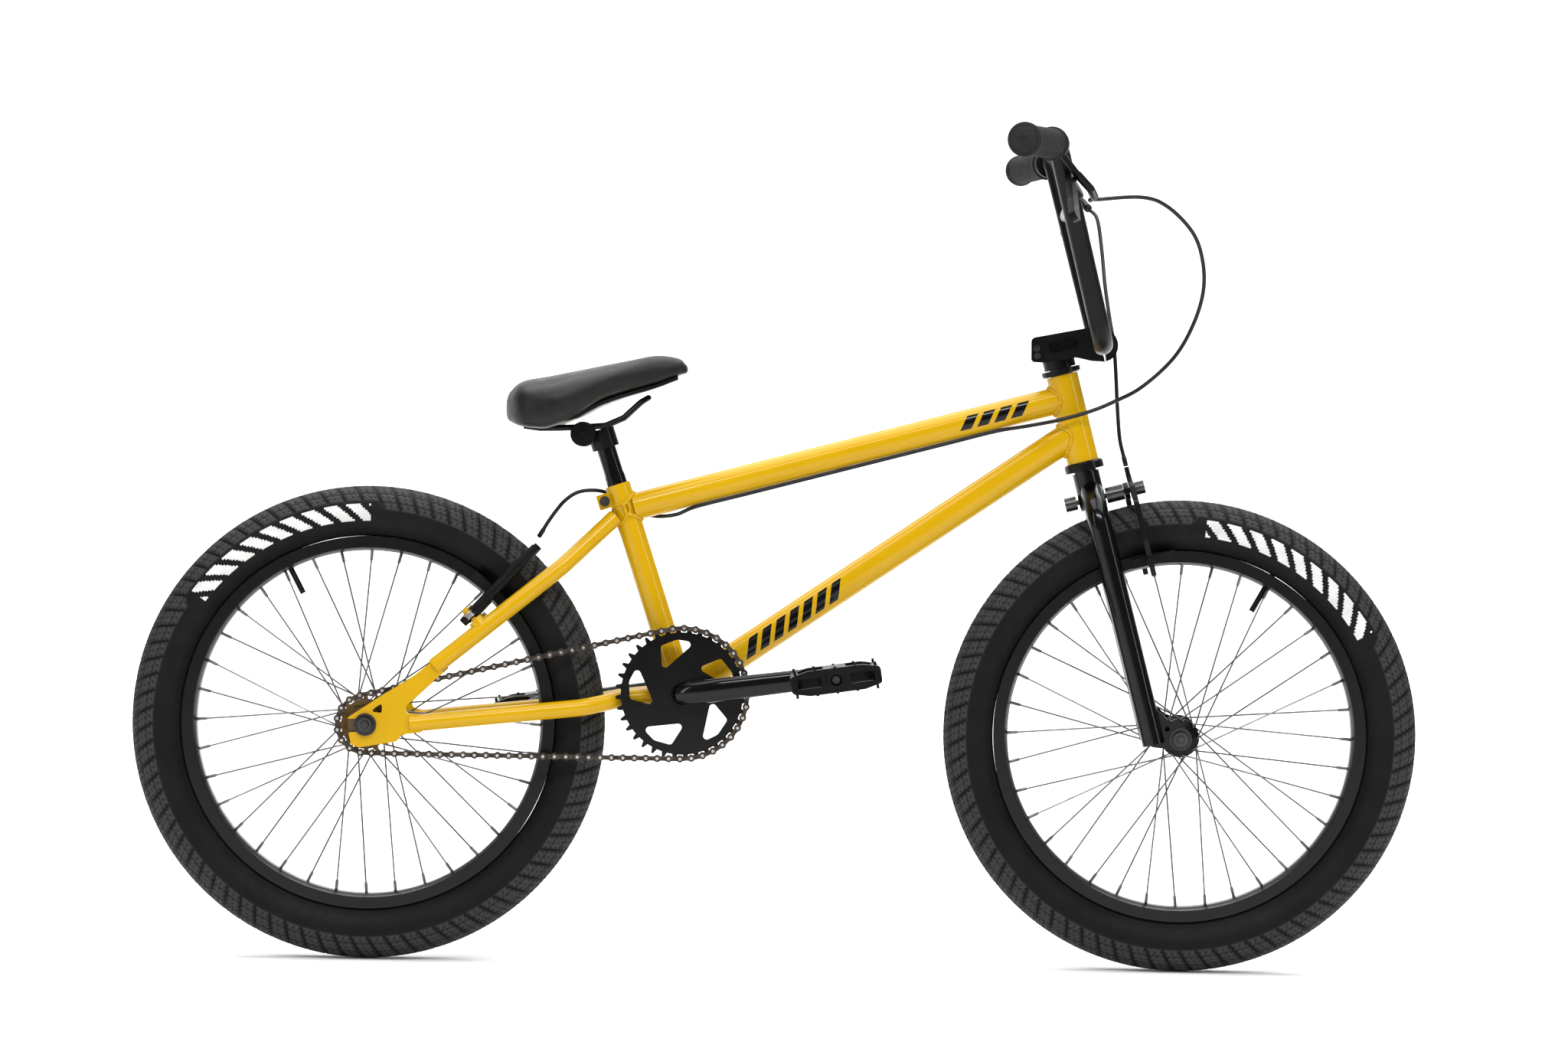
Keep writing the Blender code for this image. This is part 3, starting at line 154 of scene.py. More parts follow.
def bored(start, end, radius, bore, sides=16, into=None):
    """A round tube with a hole right through."""
    length = (end - start).length
    profile = [(bore, 0), (radius, 0), (radius, length), (bore, length)]
    return turned(profile, start, end - start, sides, into=into)


def swept(path, section, hint=None, into=None, scales=None):
    """Sweep a closed section of (side, other) offsets along a path without twist, ends closed."""
    bm = into or bmesh.new()
    path = [Vector(point) for point in path]
    ways = []
    for i, point in enumerate(path):
        before = (point - path[i - 1]).normalized() if i else None
        after = (path[i + 1] - point).normalized() if i + 1 < len(path) else None
        ways.append(((before or after) + (after or before)).normalized())
    side, other = across(ways[0], hint)
    rings = []
    for i, (point, way) in enumerate(zip(path, ways)):
        if i:
            turn = ways[i - 1].rotation_difference(way)
            side = turn @ side
            side = (side - way * side.dot(way)).normalized()
            other = way.cross(side)
        scale = scales[i] if scales else (1.0, 1.0)
        ring = []
        for a, b in section:
            ring.append(bm.verts.new(point + side * (a * scale[0]) + other * (b * scale[1])))
        rings.append(ring)
    skin(bm, rings)
    bm.faces.new(rings[0])
    bm.faces.new(rings[-1])
    return bm


def circle(radius, sides, other=None):
    """Section points on a circle or an ellipse."""
    points = []
    for i in range(sides):
        angle = 2 * pi * (i + 0.5) / sides
        points.append((radius * cos(angle), (other or radius) * sin(angle)))
    return points


def curved(points, steps, round_by=0.5):
    """A smooth path through the points: Catmull-Rom spans of so many steps."""
    points = [Vector(point) for point in points]
    padded = [points[0] * 2 - points[1]] + points + [points[-1] * 2 - points[-2]]
    out = []
    for i in range(1, len(padded) - 2):
        p0, p1, p2, p3 = padded[i - 1:i + 3]
        m1 = (p2 - p0) * round_by
        m2 = (p3 - p1) * round_by
        for k in range(steps):
            t = k / steps
            h00 = 2 * t ** 3 - 3 * t ** 2 + 1
            h10 = t ** 3 - 2 * t ** 2 + t
            h01 = -2 * t ** 3 + 3 * t ** 2
            h11 = t ** 3 - t ** 2
            out.append(p1 * h00 + m1 * h10 + p2 * h01 + m2 * h11)
    out.append(points[-1])
    return out


def bends(points, radii, steps=5):
    """A path of straight runs whose inner corners are arcs of the given radii."""
    points = [Vector(point) for point in points]
    out = [points[0]]
    for i in range(1, len(points) - 1):
        before = (points[i - 1] - points[i]).normalized()
        after = (points[i + 1] - points[i]).normalized()
        half = before.angle(after) / 2
        radius = radii[i - 1]
        back = radius / tan(half)
        centre = points[i] + (before + after).normalized() * (radius / sin(half))
        first = points[i] + before * back - centre
        last = points[i] + after * back - centre
        turn = first.rotation_difference(last)
        for k in range(steps + 1):
            part = turn.copy()
            part.angle = turn.angle * k / steps
            out.append(centre + part @ first)
    out.append(points[-1])
    return out


def rounded(corners, steps=3):
    """Outline points from corners (x, y, radius)."""
    out = []
    count = len(corners)
    for i, (x, y, radius) in enumerate(corners):
        here = Vector((x, y))
        if radius <= 0:
            out.append((x, y))
            continue
        before = (Vector(corners[i - 1][:2]) - here).normalized()
        after = (Vector(corners[(i + 1) % count][:2]) - here).normalized()
        half = before.angle(after) / 2
        centre = here + (before + after).normalized() * (radius / sin(half))
        first = here + before * (radius / tan(half)) - centre
        last = here + after * (radius / tan(half)) - centre
        angle = first.angle_signed(last)
        for k in range(steps + 1):
            turn = -angle * k / steps
            spun = Vector((
                first.x * cos(turn) - first.y * sin(turn),
                first.x * sin(turn) + first.y * cos(turn),
            ))
            out.append(tuple(centre + spun))
    return out


def disc(radius, sides, centre=(0.0, 0.0), start=0.0):
    """Outline of a round hole or plate."""
    points = []
    for i in range(sides):
        angle = start + 2 * pi * i / sides
        points.append((centre[0] + radius * cos(angle), centre[1] + radius * sin(angle)))
    return points


def plate(outline, holes, thickness, origin, right, up, into=None):
    """A flat plate with holes, centred on its own plane, drawn with two in-plane vectors."""
    bm = into or bmesh.new()
    normal = right.cross(up).normalized()
    loops = [outline] + holes
    flat = [[Vector((x, y, 0.0)) for x, y in loop] for loop in loops]
    triangles = tessellate_polygon(flat)
    layers = []
    for side in (-0.5, 0.5):
        layer = []
        for loop in loops:
            for x, y in loop:
                layer.append(bm.verts.new(origin + right * x + up * y + normal * (thickness * side)))
        layers.append(layer)
        for triangle in triangles:
            bm.faces.new([layer[i] for i in triangle])
    first = 0
    for loop in loops:
        count = len(loop)
        for i in range(count):
            a = first + i
            b = first + (i + 1) % count
            bm.faces.new((layers[0][a], layers[0][b], layers[1][b], layers[1][a]))
        first += count
    return bm


def box(centre, x_axis, y_axis, sizes, into=None):
    """A block from its centre, two of its axes and its three sizes."""
    x_axis = x_axis.normalized()
    y_axis = (y_axis - x_axis * y_axis.dot(x_axis)).normalized()
    half_x = sizes[0] / 2
    half_y = sizes[1] / 2
    outline = [(-half_x, -half_y), (half_x, -half_y), (half_x, half_y), (-half_x, half_y)]
    return plate(outline, [], sizes[2], centre, x_axis, y_axis, into)


def mirrored(points):
    return [Vector((point[0], -point[1], point[2])) for point in points]


def steer(forward, left, up):
    """A point from the head tube's centre: forward of the steering axis, left, and up along it."""
    return HEAD_CENTRE + HEAD_FORWARD * forward + LEFT * left + HEAD_UP * up



# Materials, all from nodes in object space
def shader_of(name):
    made = bpy.data.materials.new(name)
    made.use_nodes = True
    tree = made.node_tree
    return made, tree, tree.nodes["Principled BSDF"]


def noise(tree, scale, detail=4.0, stretch=None):
    coords = tree.nodes.new("ShaderNodeTexCoord")
    texture = tree.nodes.new("ShaderNodeTexNoise")
    texture.inputs["Scale"].default_value = scale
    texture.inputs["Detail"].default_value = detail
    if stretch:
        mapping = tree.nodes.new("ShaderNodeMapping")
        mapping.inputs["Scale"].default_value = stretch
        tree.links.new(coords.outputs["Object"], mapping.inputs["Vector"])
        tree.links.new(mapping.outputs["Vector"], texture.inputs["Vector"])
    else:
        tree.links.new(coords.outputs["Object"], texture.inputs["Vector"])
    return texture.outputs["Fac"]


def ramp(tree, value, low, high, low_at=0.35, high_at=0.65):
    node = tree.nodes.new("ShaderNodeValToRGB")
    node.color_ramp.elements[0].position = low_at
    node.color_ramp.elements[1].position = high_at
    node.color_ramp.elements[0].color = (*low, 1.0)
    node.color_ramp.elements[1].color = (*high, 1.0)
    tree.links.new(value, node.inputs["Fac"])
    return node.outputs["Color"]


def spread(tree, value, low, high):
    node = tree.nodes.new("ShaderNodeMapRange")
    node.inputs["From Min"].default_value = 0.3
    node.inputs["From Max"].default_value = 0.7
    node.inputs["To Min"].default_value = low
    node.inputs["To Max"].default_value = high
    tree.links.new(value, node.inputs["Value"])
    return node.outputs["Result"]


def bumped(tree, shader, value, strength, distance, under=None):
    node = tree.nodes.new("ShaderNodeBump")
    node.inputs["Strength"].default_value = strength
    node.inputs["Distance"].default_value = distance
    tree.links.new(value, node.inputs["Height"])
    if under is not None:
        tree.links.new(under, node.inputs["Normal"])
    tree.links.new(node.outputs["Normal"], shader.inputs["Normal"])
    return node.outputs["Normal"]


def worn(tree, colour, edge_colour, amount):
    """Lighter, scuffed colour where the surface turns over an edge."""
    geometry = tree.nodes.new("ShaderNodeNewGeometry")
    level = tree.nodes.new("ShaderNodeMapRange")
    level.inputs["From Min"].default_value = 0.53
    level.inputs["From Max"].default_value = 0.62
    level.inputs["To Max"].default_value = amount
    tree.links.new(geometry.outputs["Pointiness"], level.inputs["Value"])
    mix = tree.nodes.new("ShaderNodeMix")
    mix.data_type = "RGBA"
    tree.links.new(level.outputs["Result"], mix.inputs["Factor"])
    tree.links.new(colour, mix.inputs[6])
    mix.inputs[7].default_value = (*edge_colour, 1.0)
    return mix.outputs[2]


def finish_of(name, low, high, rough, metal=0.0, coat=0.0, grain=900.0, grain_depth=0.00003, wear=0.0,
              wear_colour=(0.3, 0.3, 0.3), patch=14.0, stretch=None, specular=0.5):
    made, tree, shader = shader_of(name)
    colour = ramp(tree, noise(tree, patch, 6.0), low, high)
    if wear:
        colour = worn(tree, colour, wear_colour, wear)
    tree.links.new(colour, shader.inputs["Base Color"])
    tree.links.new(spread(tree, noise(tree, patch * 4, 5.0, stretch), rough[0], rough[1]),
        shader.inputs["Roughness"])
    shader.inputs["Metallic"].default_value = metal
    shader.inputs["Specular IOR Level"].default_value = specular
    shader.inputs["Coat Weight"].default_value = coat
    shader.inputs["Coat Roughness"].default_value = 0.06
    normal = bumped(tree, shader, noise(tree, grain, 3.0, stretch), 0.5, grain_depth)
    bumped(tree, shader, noise(tree, 45.0, 2.0), 0.25, 0.0002, normal)
    return made


YELLOW = finish_of("frame_yellow_paint", (0.53, 0.302, 0.0003), (0.55, 0.316, 0.0004), (0.2, 0.23),
    0.0, 0.15, 1400.0,
                   0.00001, 0.0, specular=0.22)
GLOSS_BLACK = finish_of("black_gloss_paint", (0.0012, 0.0012, 0.0014), (0.002, 0.002, 0.0023),
    (0.16, 0.22), 0.0, 0.25,
                        1200.0, 0.00001, 0.05, (0.01, 0.01, 0.01), specular=0.16)
SATIN_BLACK = finish_of("black_satin_metal", (0.0016, 0.0016, 0.0018), (0.0035, 0.0035, 0.0037),
    (0.28, 0.38), 0.0, 0.1,
                        1500.0, 0.00003, 0.2, (0.01, 0.01, 0.01), specular=0.12)
RIM_BLACK = finish_of("rim_black_anodised", (0.0014, 0.0014, 0.0015), (0.0026, 0.0026, 0.0028),
    (0.26, 0.34), 0.0, 0.1,
                      1500.0, 0.00002, 0.1, (0.012, 0.012, 0.012), stretch=(1, 6, 1), specular=0.2)
STEEL = finish_of("plated_steel", (0.42, 0.41, 0.4), (0.6, 0.59, 0.57), (0.2, 0.36), 1.0, 0.0, 1800.0,
    0.00003, 0.2,
                  (0.8, 0.8, 0.78))
SPOKE_STEEL = finish_of("spoke_steel", (0.085, 0.082, 0.08), (0.13, 0.127, 0.125), (0.25, 0.4), 1.0,
    0.0, 1800.0, 0.00002,
                        0.2, (0.25, 0.25, 0.25))
CHAIN_BROWN = finish_of("chain_steel_oiled", (0.038, 0.03, 0.024), (0.095, 0.078, 0.066), (0.28, 0.5),
    1.0, 0.0, 1800.0,
                        0.00004, 0.5, (0.3, 0.27, 0.24), patch=160.0)
BRONZE = finish_of("cog_bronze", (0.06, 0.035, 0.014), (0.12, 0.075, 0.03), (0.3, 0.5), 1.0, 0.0,
    1600.0, 0.00004, 0.5,
                   (0.24, 0.18, 0.1), patch=90.0)
TYRE_BLACK = finish_of("tyre_rubber", (0.0026, 0.0026, 0.0026), (0.0048, 0.0047, 0.0046), (0.52, 0.66),
    0.0, 0.0, 2200.0,
                       0.00005, 0.2, (0.008, 0.008, 0.0078), patch=30.0, specular=0.14)
tyre_tree = TYRE_BLACK.node_tree
tyre_shader = next(n for n in tyre_tree.nodes if n.type == "BSDF_PRINCIPLED")
plain_colour = tyre_shader.inputs["Base Color"].links[0].from_socket
# The tread band is mixed to a lighter tone, and the grooves and pits to near black: painted shade in the
# recesses.
for attribute, tone in (("tread_zone", (0.034, 0.034, 0.0335, 1)),
    ("groove_painted_shade", (0.0004, 0.0004, 0.0004, 1))):
    reader = tyre_tree.nodes.new("ShaderNodeAttribute")
    reader.attribute_name = attribute
    blend = tyre_tree.nodes.new("ShaderNodeMix")
    blend.data_type = "RGBA"
    next(i for i in blend.inputs if i.name == "B" and i.type == "RGBA").default_value = tone
    tyre_tree.links.new(reader.outputs["Fac"], blend.inputs["Factor"])
    tyre_tree.links.new(plain_colour, next(i for i in blend.inputs if i.name == "A" and i.type == "RGBA"))
    plain_colour = next(o for o in blend.outputs if o.type == "RGBA")
tyre_tree.links.new(plain_colour, tyre_shader.inputs["Base Color"])
TYRE_MARK = finish_of("tyre_white_print", (0.55, 0.55, 0.54), (0.68, 0.68, 0.67), (0.5, 0.65), 0.0, 0.0,
    2200.0, 0.00004,
                      0.2, (0.45, 0.45, 0.44), patch=60.0)
GRIP_BLACK = finish_of("grip_rubber", (0.005, 0.005, 0.005), (0.0095, 0.0095, 0.0095), (0.6, 0.78),
    0.0, 0.0, 2400.0, 0.00006,
                       0.4, (0.022, 0.022, 0.022), patch=60.0, specular=0.3)
PLASTIC = finish_of("black_moulded_plastic", (0.0016, 0.0016, 0.0018), (0.0032, 0.0032, 0.0034),
    (0.32, 0.46), 0.0, 0.0,
                    1900.0, 0.00006, 0.2, (0.01, 0.01, 0.01), patch=40.0, specular=0.14)
CABLE_BLACK = finish_of("cable_housing_black", (0.0016, 0.0016, 0.0016), (0.003, 0.003, 0.003),
    (0.28, 0.4), 0.0, 0.1,
                        1500.0, 0.00003, 0.1, (0.01, 0.01, 0.01), patch=80.0, specular=0.3)
DARK_STEEL = finish_of("dark_plated_steel", (0.03, 0.03, 0.031), (0.06, 0.059, 0.058), (0.22, 0.36),
    1.0, 0.0, 1800.0,
                       0.00003, 0.3, (0.22, 0.21, 0.2))


def leather_grain():
    made, tree, shader = shader_of("saddle_vinyl")
    colour = ramp(tree, noise(tree, 40.0, 8.0), (0.004, 0.004, 0.0042), (0.0075, 0.0075, 0.0078))
    tree.links.new(worn(tree, colour, (0.016, 0.016, 0.016), 0.3), shader.inputs["Base Color"])
    tree.links.new(spread(tree, noise(tree, 60.0, 5.0), 0.34, 0.48), shader.inputs["Roughness"])
    shader.inputs["Specular IOR Level"].default_value = 0.28
    coords = tree.nodes.new("ShaderNodeTexCoord")
    cells = tree.nodes.new("ShaderNodeTexVoronoi")
    cells.feature = "DISTANCE_TO_EDGE"
    cells.inputs["Scale"].default_value = 750.0
    tree.links.new(coords.outputs["Object"], cells.inputs["Vector"])
    normal = bumped(tree, shader, cells.outputs["Distance"], 0.5, 0.0004)
    bumped(tree, shader, noise(tree, 1800.0, 4.0), 0.3, 0.00004, normal)
    return made


SADDLE_BLACK = leather_grain()

STEERED = {"steering", "front_wheel", "lever_r", "lever_l", "front_arm_r", "front_arm_l"}
TURN = (Matrix.Translation(HEAD_CENTRE) @ Matrix.Rotation(radians(STEER_REST), 4, HEAD_UP)
        @ Matrix.Translation(-HEAD_CENTRE))
made_pieces = []


def place(name, bm, paint, on="frame", sharp=35.0, bevel=0.0):
    """A visual piece in whole-bike coordinates, turned with the steering where it belongs to it."""
    bmesh.ops.recalc_face_normals(bm, faces=bm.faces[:])
    mesh = bpy.data.meshes.new(name)
    bm.to_mesh(mesh)
    bm.free()
    mesh.materials.append(paint)
    mesh.shade_smooth()
    mesh.set_sharp_from_angle(angle=radians(sharp))
    obj = bpy.data.objects.new(name + "_look", mesh)
    obj["stands_for"] = name
    bpy.context.scene.collection.objects.link(obj)
    if on in STEERED:
        obj.matrix_world = TURN
    obj["edge"] = bevel
    obj["body"] = on
    made_pieces.append(obj)
    return obj


def helper(bm, on):
    """A Boolean tool, which is not one of the pieces."""
    obj = place("tool", bm, PLASTIC, on)
    made_pieces.remove(obj)
    return obj


def boolean(obj, other, operation):
    """Carry out a Boolean at once and drop the tool."""
    modifier = obj.modifiers.new(operation, "BOOLEAN")
    modifier.operation = operation
    modifier.solver = "MANIFOLD"
    modifier.object = other
    bpy.context.view_layer.update()
    made = bpy.data.meshes.new_from_object(obj.evaluated_get(bpy.context.evaluated_depsgraph_get()))
    obj.modifiers.clear()
    old = obj.data
    paint = old.materials[0]
    made.materials.clear()
    made.materials.append(paint)
    made.polygons.foreach_set("material_index", [0] * len(made.polygons))
    obj.data = made
    bpy.data.meshes.remove(old)
    bpy.data.objects.remove(other, do_unlink=True)


def join(obj, bm):
    boolean(obj, helper(bm, obj["body"]), "UNION")


def cut(obj, bm):
    boolean(obj, helper(bm, obj["body"]), "DIFFERENCE")


def add_mesh(name, mesh, node, on):
    """Adds a finished mesh as a piece on a body, standing for a node or, with an empty name, for none."""
    obj = bpy.data.objects.new(name, mesh)
    bpy.context.scene.collection.objects.link(obj)
    obj["stands_for"] = node
    obj["edge"] = 0.0
    obj["body"] = on
    if on in STEERED:
        obj.matrix_world = TURN
    made_pieces.append(obj)


# Tyre tread
TREAD_BLOCKS = 80
TREAD_REACH = 84.0  # degrees each side of the crown
MARK_HALF = 27.0  # degrees of the wheel, each way from a mark's middle
GROOVE_DEPTH = 0.0022
RING_DEPTH = 0.0016
PIT_DEPTH = 0.0011
TREAD_RISE = 0.0007


def build_tyre(end, centre, on, mark_at):
    """A tyre whose tread is cut into the casing: slanted and round grooves and small square pits.

    Plain white dashes stand on both sidewalls, centred on the angle mark_at.
    """
    around = 1600
    section = np.radians(np.concatenate([np.linspace(-45, 20, 14), np.linspace(23, 157, 46),
        np.linspace(160, 225, 14)]))
    theta = np.linspace(0, 2 * np.pi, around, endpoint=False)
    t, a = np.meshgrid(theta, section, indexing="ij")
    from_crown = np.degrees(a) - 90.0
    from_mark = ((np.degrees(t) - degrees(mark_at) + 180) % 360) - 180
    tread_edge = TREAD_REACH - 18.0 * np.clip((MARK_HALF + 4.0 - np.abs(from_mark)) / 2.0, 0, 1)
    tread = np.clip((tread_edge - np.abs(from_crown)) / 3.0, 0, 1)
    slant = np.abs(from_crown) / 64.0
    groove_phase = (t * TREAD_BLOCKS / (2 * np.pi) + 0.55 * slant ** 1.5 + 0.5 * (from_crown > 0)) % 1.0
    groove = np.clip(1.0 - np.abs(groove_phase - 0.5) / 0.13, 0,
        1) ** 0.6 * np.clip((np.abs(from_crown) - 6) / 4, 0, 1)
    ring = np.zeros_like(t)
    for at in (0.0, 24.0, 44.0, 66.0):
        ring = np.maximum(ring, np.clip(1.0 - np.abs(np.abs(from_crown) - at) / 2.0, 0, 1))
    pit_t = (t * 3 * TREAD_BLOCKS / (2 * np.pi) + 1.65 * slant ** 1.5) % 1.0
    pit_a = (np.abs(from_crown) / 10.0) % 1.0
    pit = ((np.abs(pit_t - 0.5) < 0.24) & (np.abs(pit_a - 0.5) < 0.24)).astype(float)
    cut_depth = tread * np.maximum(np.maximum(groove * GROOVE_DEPTH, ring * RING_DEPTH), pit * PIT_DEPTH)
    edge_step = TREAD_RISE * (1 - np.clip((tread_edge + 2.0 - np.abs(from_crown)) / 2.0, 0, 1))
    rib = 0.0
    for at in (-32.0, 2.0, 178.0, 212.0):
        rib = rib + np.clip(1.0 - np.abs(np.degrees(a) - at) / 2.2, 0, 1) * 0.0006
    radius = TYRE_SECTION - TREAD_RISE - cut_depth - edge_step + rib + TREAD_RISE * tread
    out = 0.2355 + radius * np.sin(a)
    side = radius * np.cos(a)
    closing = [(0.209, -0.0125), (0.2165, -0.0165), (0.262, 0.0), (0.2165, 0.0165), (0.209, 0.0125)]
    out = np.hstack([out] + [np.full((around, 1), r) for r, y in closing])
    side = np.hstack([side] + [np.full((around, 1), y) for r, y in closing])
    turn_column = np.repeat(theta[:, None], out.shape[1], axis=1)
    points = np.stack([centre.x + out * np.cos(turn_column), centre.y + side,
        centre.z + out * np.sin(turn_column)], -1)
    count = out.shape[1]
    i, k = np.meshgrid(np.arange(around), np.arange(count), indexing="ij")
    n = (i + 1) % around
    m = (k + 1) % count
    quads = np.stack([i * count + k, i * count + m, n * count + m, n * count + k], -1).reshape(-1, 4)
    mesh = bpy.data.meshes.new(end + "_tyre_look")
    mesh.from_pydata(points.reshape(-1, 3).tolist(), [], quads.tolist())
    mesh.materials.append(TYRE_BLACK)
    mesh.materials.append(TYRE_MARK)
    mid = (np.degrees(theta) + 0.5 * 360 / around)[:, None]
    angle = np.concatenate([np.degrees(section), np.full(len(closing), 90.0)])[None, :]
    off = ((mid - degrees(mark_at) + 180) % 360) - 180
    low_side = np.abs(angle - 90.0)
    band = (low_side > 68.0) & (low_side < 107.0) & (np.abs(off) < MARK_HALF)
    stripe = ((off + (low_side - 68.0) * 0.12) / 6.0) % 1.0
    shape = stripe < 0.62
    mesh.polygons.foreach_set("material_index", (band & shape).astype(np.int32).reshape(-1))
    # Grooves and pits, scaled by their depth, mark where the tyre material paints shade into the
    # recesses.
    groove_shade_mask = np.hstack([np.clip(cut_depth / 0.0017, 0, 1), np.zeros((around, len(closing)))])
    shown = np.hstack([tread, np.zeros((around, len(closing)))])
    for title, values in (("groove_painted_shade", groove_shade_mask), ("tread_zone", shown)):
        layer = mesh.attributes.new(title, "FLOAT", "POINT")
        layer.data.foreach_set("value", values.astype(np.float32).reshape(-1))
    mesh.update()
    add_mesh(end + "_tyre_look", mesh, end + "_tyre", on)


def done():
    """Soften the edges of every piece, shade it and hand it to its body."""
    for obj in made_pieces:
        mesh = obj.data
        if obj.type == "MESH":
            mesh.shade_smooth()
            mesh.set_sharp_from_angle(angle=radians(38))
            if obj["edge"] > 0:
                bevel = obj.modifiers.new("edges", "BEVEL")
                bevel.width = obj["edge"]
                bevel.segments = 2
                bevel.limit_method = "ANGLE"
                bevel.angle_limit = radians(38)
                bevel.harden_normals = True
        if obj.name == "rear_brake_cable_look":
            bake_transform(obj)
        else:
            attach(obj, obj["body"])
        names = obj.get("stands_for", "")
        for node in [n for n in names.split(",") if n]:
            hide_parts(node)


# Wheels: both are the same but for the hub's width
def build_wheel(end, centre, on, right_flange, left_flange, hub_half, valve_angle):
    build_tyre(end, centre, on, radians(117.0 if end == "rear" else 57.0))
    rim = [
        (0.2086, -0.016), (0.2086, -0.0132), (0.199, -0.01),
        (0.199, 0.01), (0.2086, 0.0132), (0.2086, 0.016),
        (0.196, 0.016), (0.1925, 0.01), (0.1925, -0.01), (0.196, -0.016),
    ]
    rim_obj = place(end + "_rim", turned(rim, centre, LEFT, WHEEL_SEGMENTS), RIM_BLACK, on)
    out = ray(valve_angle)
    cut(rim_obj, rod(centre + out * 0.185, centre + out * 0.205, 0.0046, 24))
    tube = [(0.2355 + 0.023 * a, 0.023 * b) for a, b in circle(1.0, 6)]
    tube_obj = place(end + "_inner_tube", turned(tube, centre, LEFT, WHEEL_SEGMENTS), TYRE_BLACK, on)
    join(tube_obj, rod(centre + out * 0.162, centre + out * 0.22, 0.0032, 24))

    flange = 0.0015
    shell = [
        (0.0052, -hub_half), (0.0125, -hub_half), (0.014, right_flange - 0.004),
        (0.0215, right_flange - flange), (0.0215, right_flange + flange), (0.014, right_flange + 0.005),
        (0.013, 0.0), (0.014, left_flange - 0.005), (0.0215, left_flange - flange),
        (0.0215, left_flange + flange), (0.014, left_flange + 0.004), (0.0125, hub_half),
        (0.0052, hub_half),
    ]
    place(end + "_hub", turned(shell, centre, LEFT, 64), SATIN_BLACK, on)

    for side, height, offset in (("right", right_flange, 0.0), ("left", left_flange, 10.0)):
        outward = 1.0 if height > 0 else -1.0
        spokes = bmesh.new()
        for way, first, level in ((1, 0.0, 0.0014), (-1, 20.0, -0.0014)):
            for k in range(SPOKES // 4):
                hub_angle = radians(first + offset + 40.0 * k)
                rim_angle = hub_angle + way * radians(SPOKE_SKIP)
                low_out = ray(hub_angle)
                rim_out = ray(rim_angle)
                low = centre + low_out * HUB_HOLE_RADIUS
                high = centre + rim_out * 0.1905 + LEFT * (outward * 0.004)
                start = low + LEFT * (height + outward * (flange + level + 0.0009))
                bend = (high - start).normalized()
                path = [start - LEFT * (outward * (level + 0.003)), start - LEFT * (outward * 0.0006),
                    start + bend * 0.0012, high]
                swept(path, circle(0.00095, 8), into=spokes)
                turned([(0, 0), (0.0019, 0), (0.0019, 0.0009), (0, 0.0012)], path[0], LEFT * -outward,
                    12, into=spokes)
                turned([(0, 0), (0.0013, 0.0), (0.0018, 0.0015), (0.0018, 0.012), (0, 0.012)],
                       high - bend * 0.01, bend, 10, into=spokes)
        place(end + "_spokes_" + side, spokes, SPOKE_STEEL, on)


build_wheel("rear", REAR_AXLE, "rear_wheel", -0.03, 0.033, 0.0395, radians(118.0))
build_wheel("front", FRONT_AXLE, "front_wheel", -0.035, 0.035, 0.0445, radians(61.0))


def build_axle(end, centre, on, cone, inner, nut, tip):
    """An axle with its cones and locknuts as one turned piece, and the two nuts outside the dropouts."""
    profile = [
        (0, -tip), (0.00475, -tip), (0.00475, -inner), (0.0095, -inner), (0.0095, -cone), (0.0048, -cone),
        (0.0048, cone), (0.0095, cone), (0.0095, inner), (0.00475, inner), (0.00475, tip), (0, tip),
    ]
    place(end + "_axle", turned(profile, centre, LEFT, 48), DARK_STEEL, on)
    for side, name in ((-1, "_axle_nut_right"), (1, "_axle_nut_left")):
        washer = [
            (0.00505, nut), (0.0125, nut), (0.0125, nut + 0.002), (0.0083, nut + 0.002),
            (0.0083, nut + 0.0095), (0.00505, nut + 0.0095),
        ]
        place(end + name, turned(washer, centre, LEFT * side, 48), DARK_STEEL, on)


build_axle("rear", REAR_AXLE, "frame", 0.0398, 0.0547, 0.0608, 0.074)
build_axle("front", FRONT_AXLE, "steering", 0.0448, 0.0497, 0.0553, 0.068)


# Drive: the chain's pins sit between the teeth of both wheels, on the top run's tangent
COG_RADIUS = CHAIN_PITCH / (2 * sin(pi / COG_TEETH))
RING_RADIUS = CHAIN_PITCH / (2 * sin(pi / CHAINRING_TEETH))
CHAIN_LINKS = 82
chain_back = REAR_AXLE + LEFT * CHAIN_LINE
chain_front = BB_CENTRE + LEFT * CHAIN_LINE
centres = chain_front - chain_back
centre_angle = atan2(centres.z, centres.x)
tangent_turn = asin((RING_RADIUS - COG_RADIUS) / centres.length)


def chain_path():
    """Points all round the chain's pitch line, one for each pin, with the direction out of the loop."""
    upper = centre_angle + pi / 2 + tangent_turn
    lower = centre_angle - pi / 2 - tangent_turn
    straight = centres.length * cos(tangent_turn)
    ring_arc = RING_RADIUS * (upper - lower)
    cog_arc = COG_RADIUS * (2 * pi - upper + lower)
    total = 2 * straight + ring_arc + cog_arc
    out = []
    for i in range(CHAIN_LINKS):
        s = total * i / CHAIN_LINKS
        if s < straight:
            way = ray(upper)
            start = chain_back + way * COG_RADIUS
            point = start + (chain_front + way * RING_RADIUS - start) * (s / straight)
        elif s < straight + ring_arc:
            angle = upper - (s - straight) / RING_RADIUS
            way = ray(angle)
            point = chain_front + way * RING_RADIUS
        elif s < 2 * straight + ring_arc:
            way = ray(lower)
            start = chain_front + way * RING_RADIUS
            share = (s - straight - ring_arc) / straight
            point = start + (chain_back + way * COG_RADIUS - start) * share
        else:
            angle = lower - (s - 2 * straight - ring_arc) / COG_RADIUS
            way = ray(angle)
            point = chain_back + way * COG_RADIUS
        out.append((point, way))
    return out


pins = chain_path()


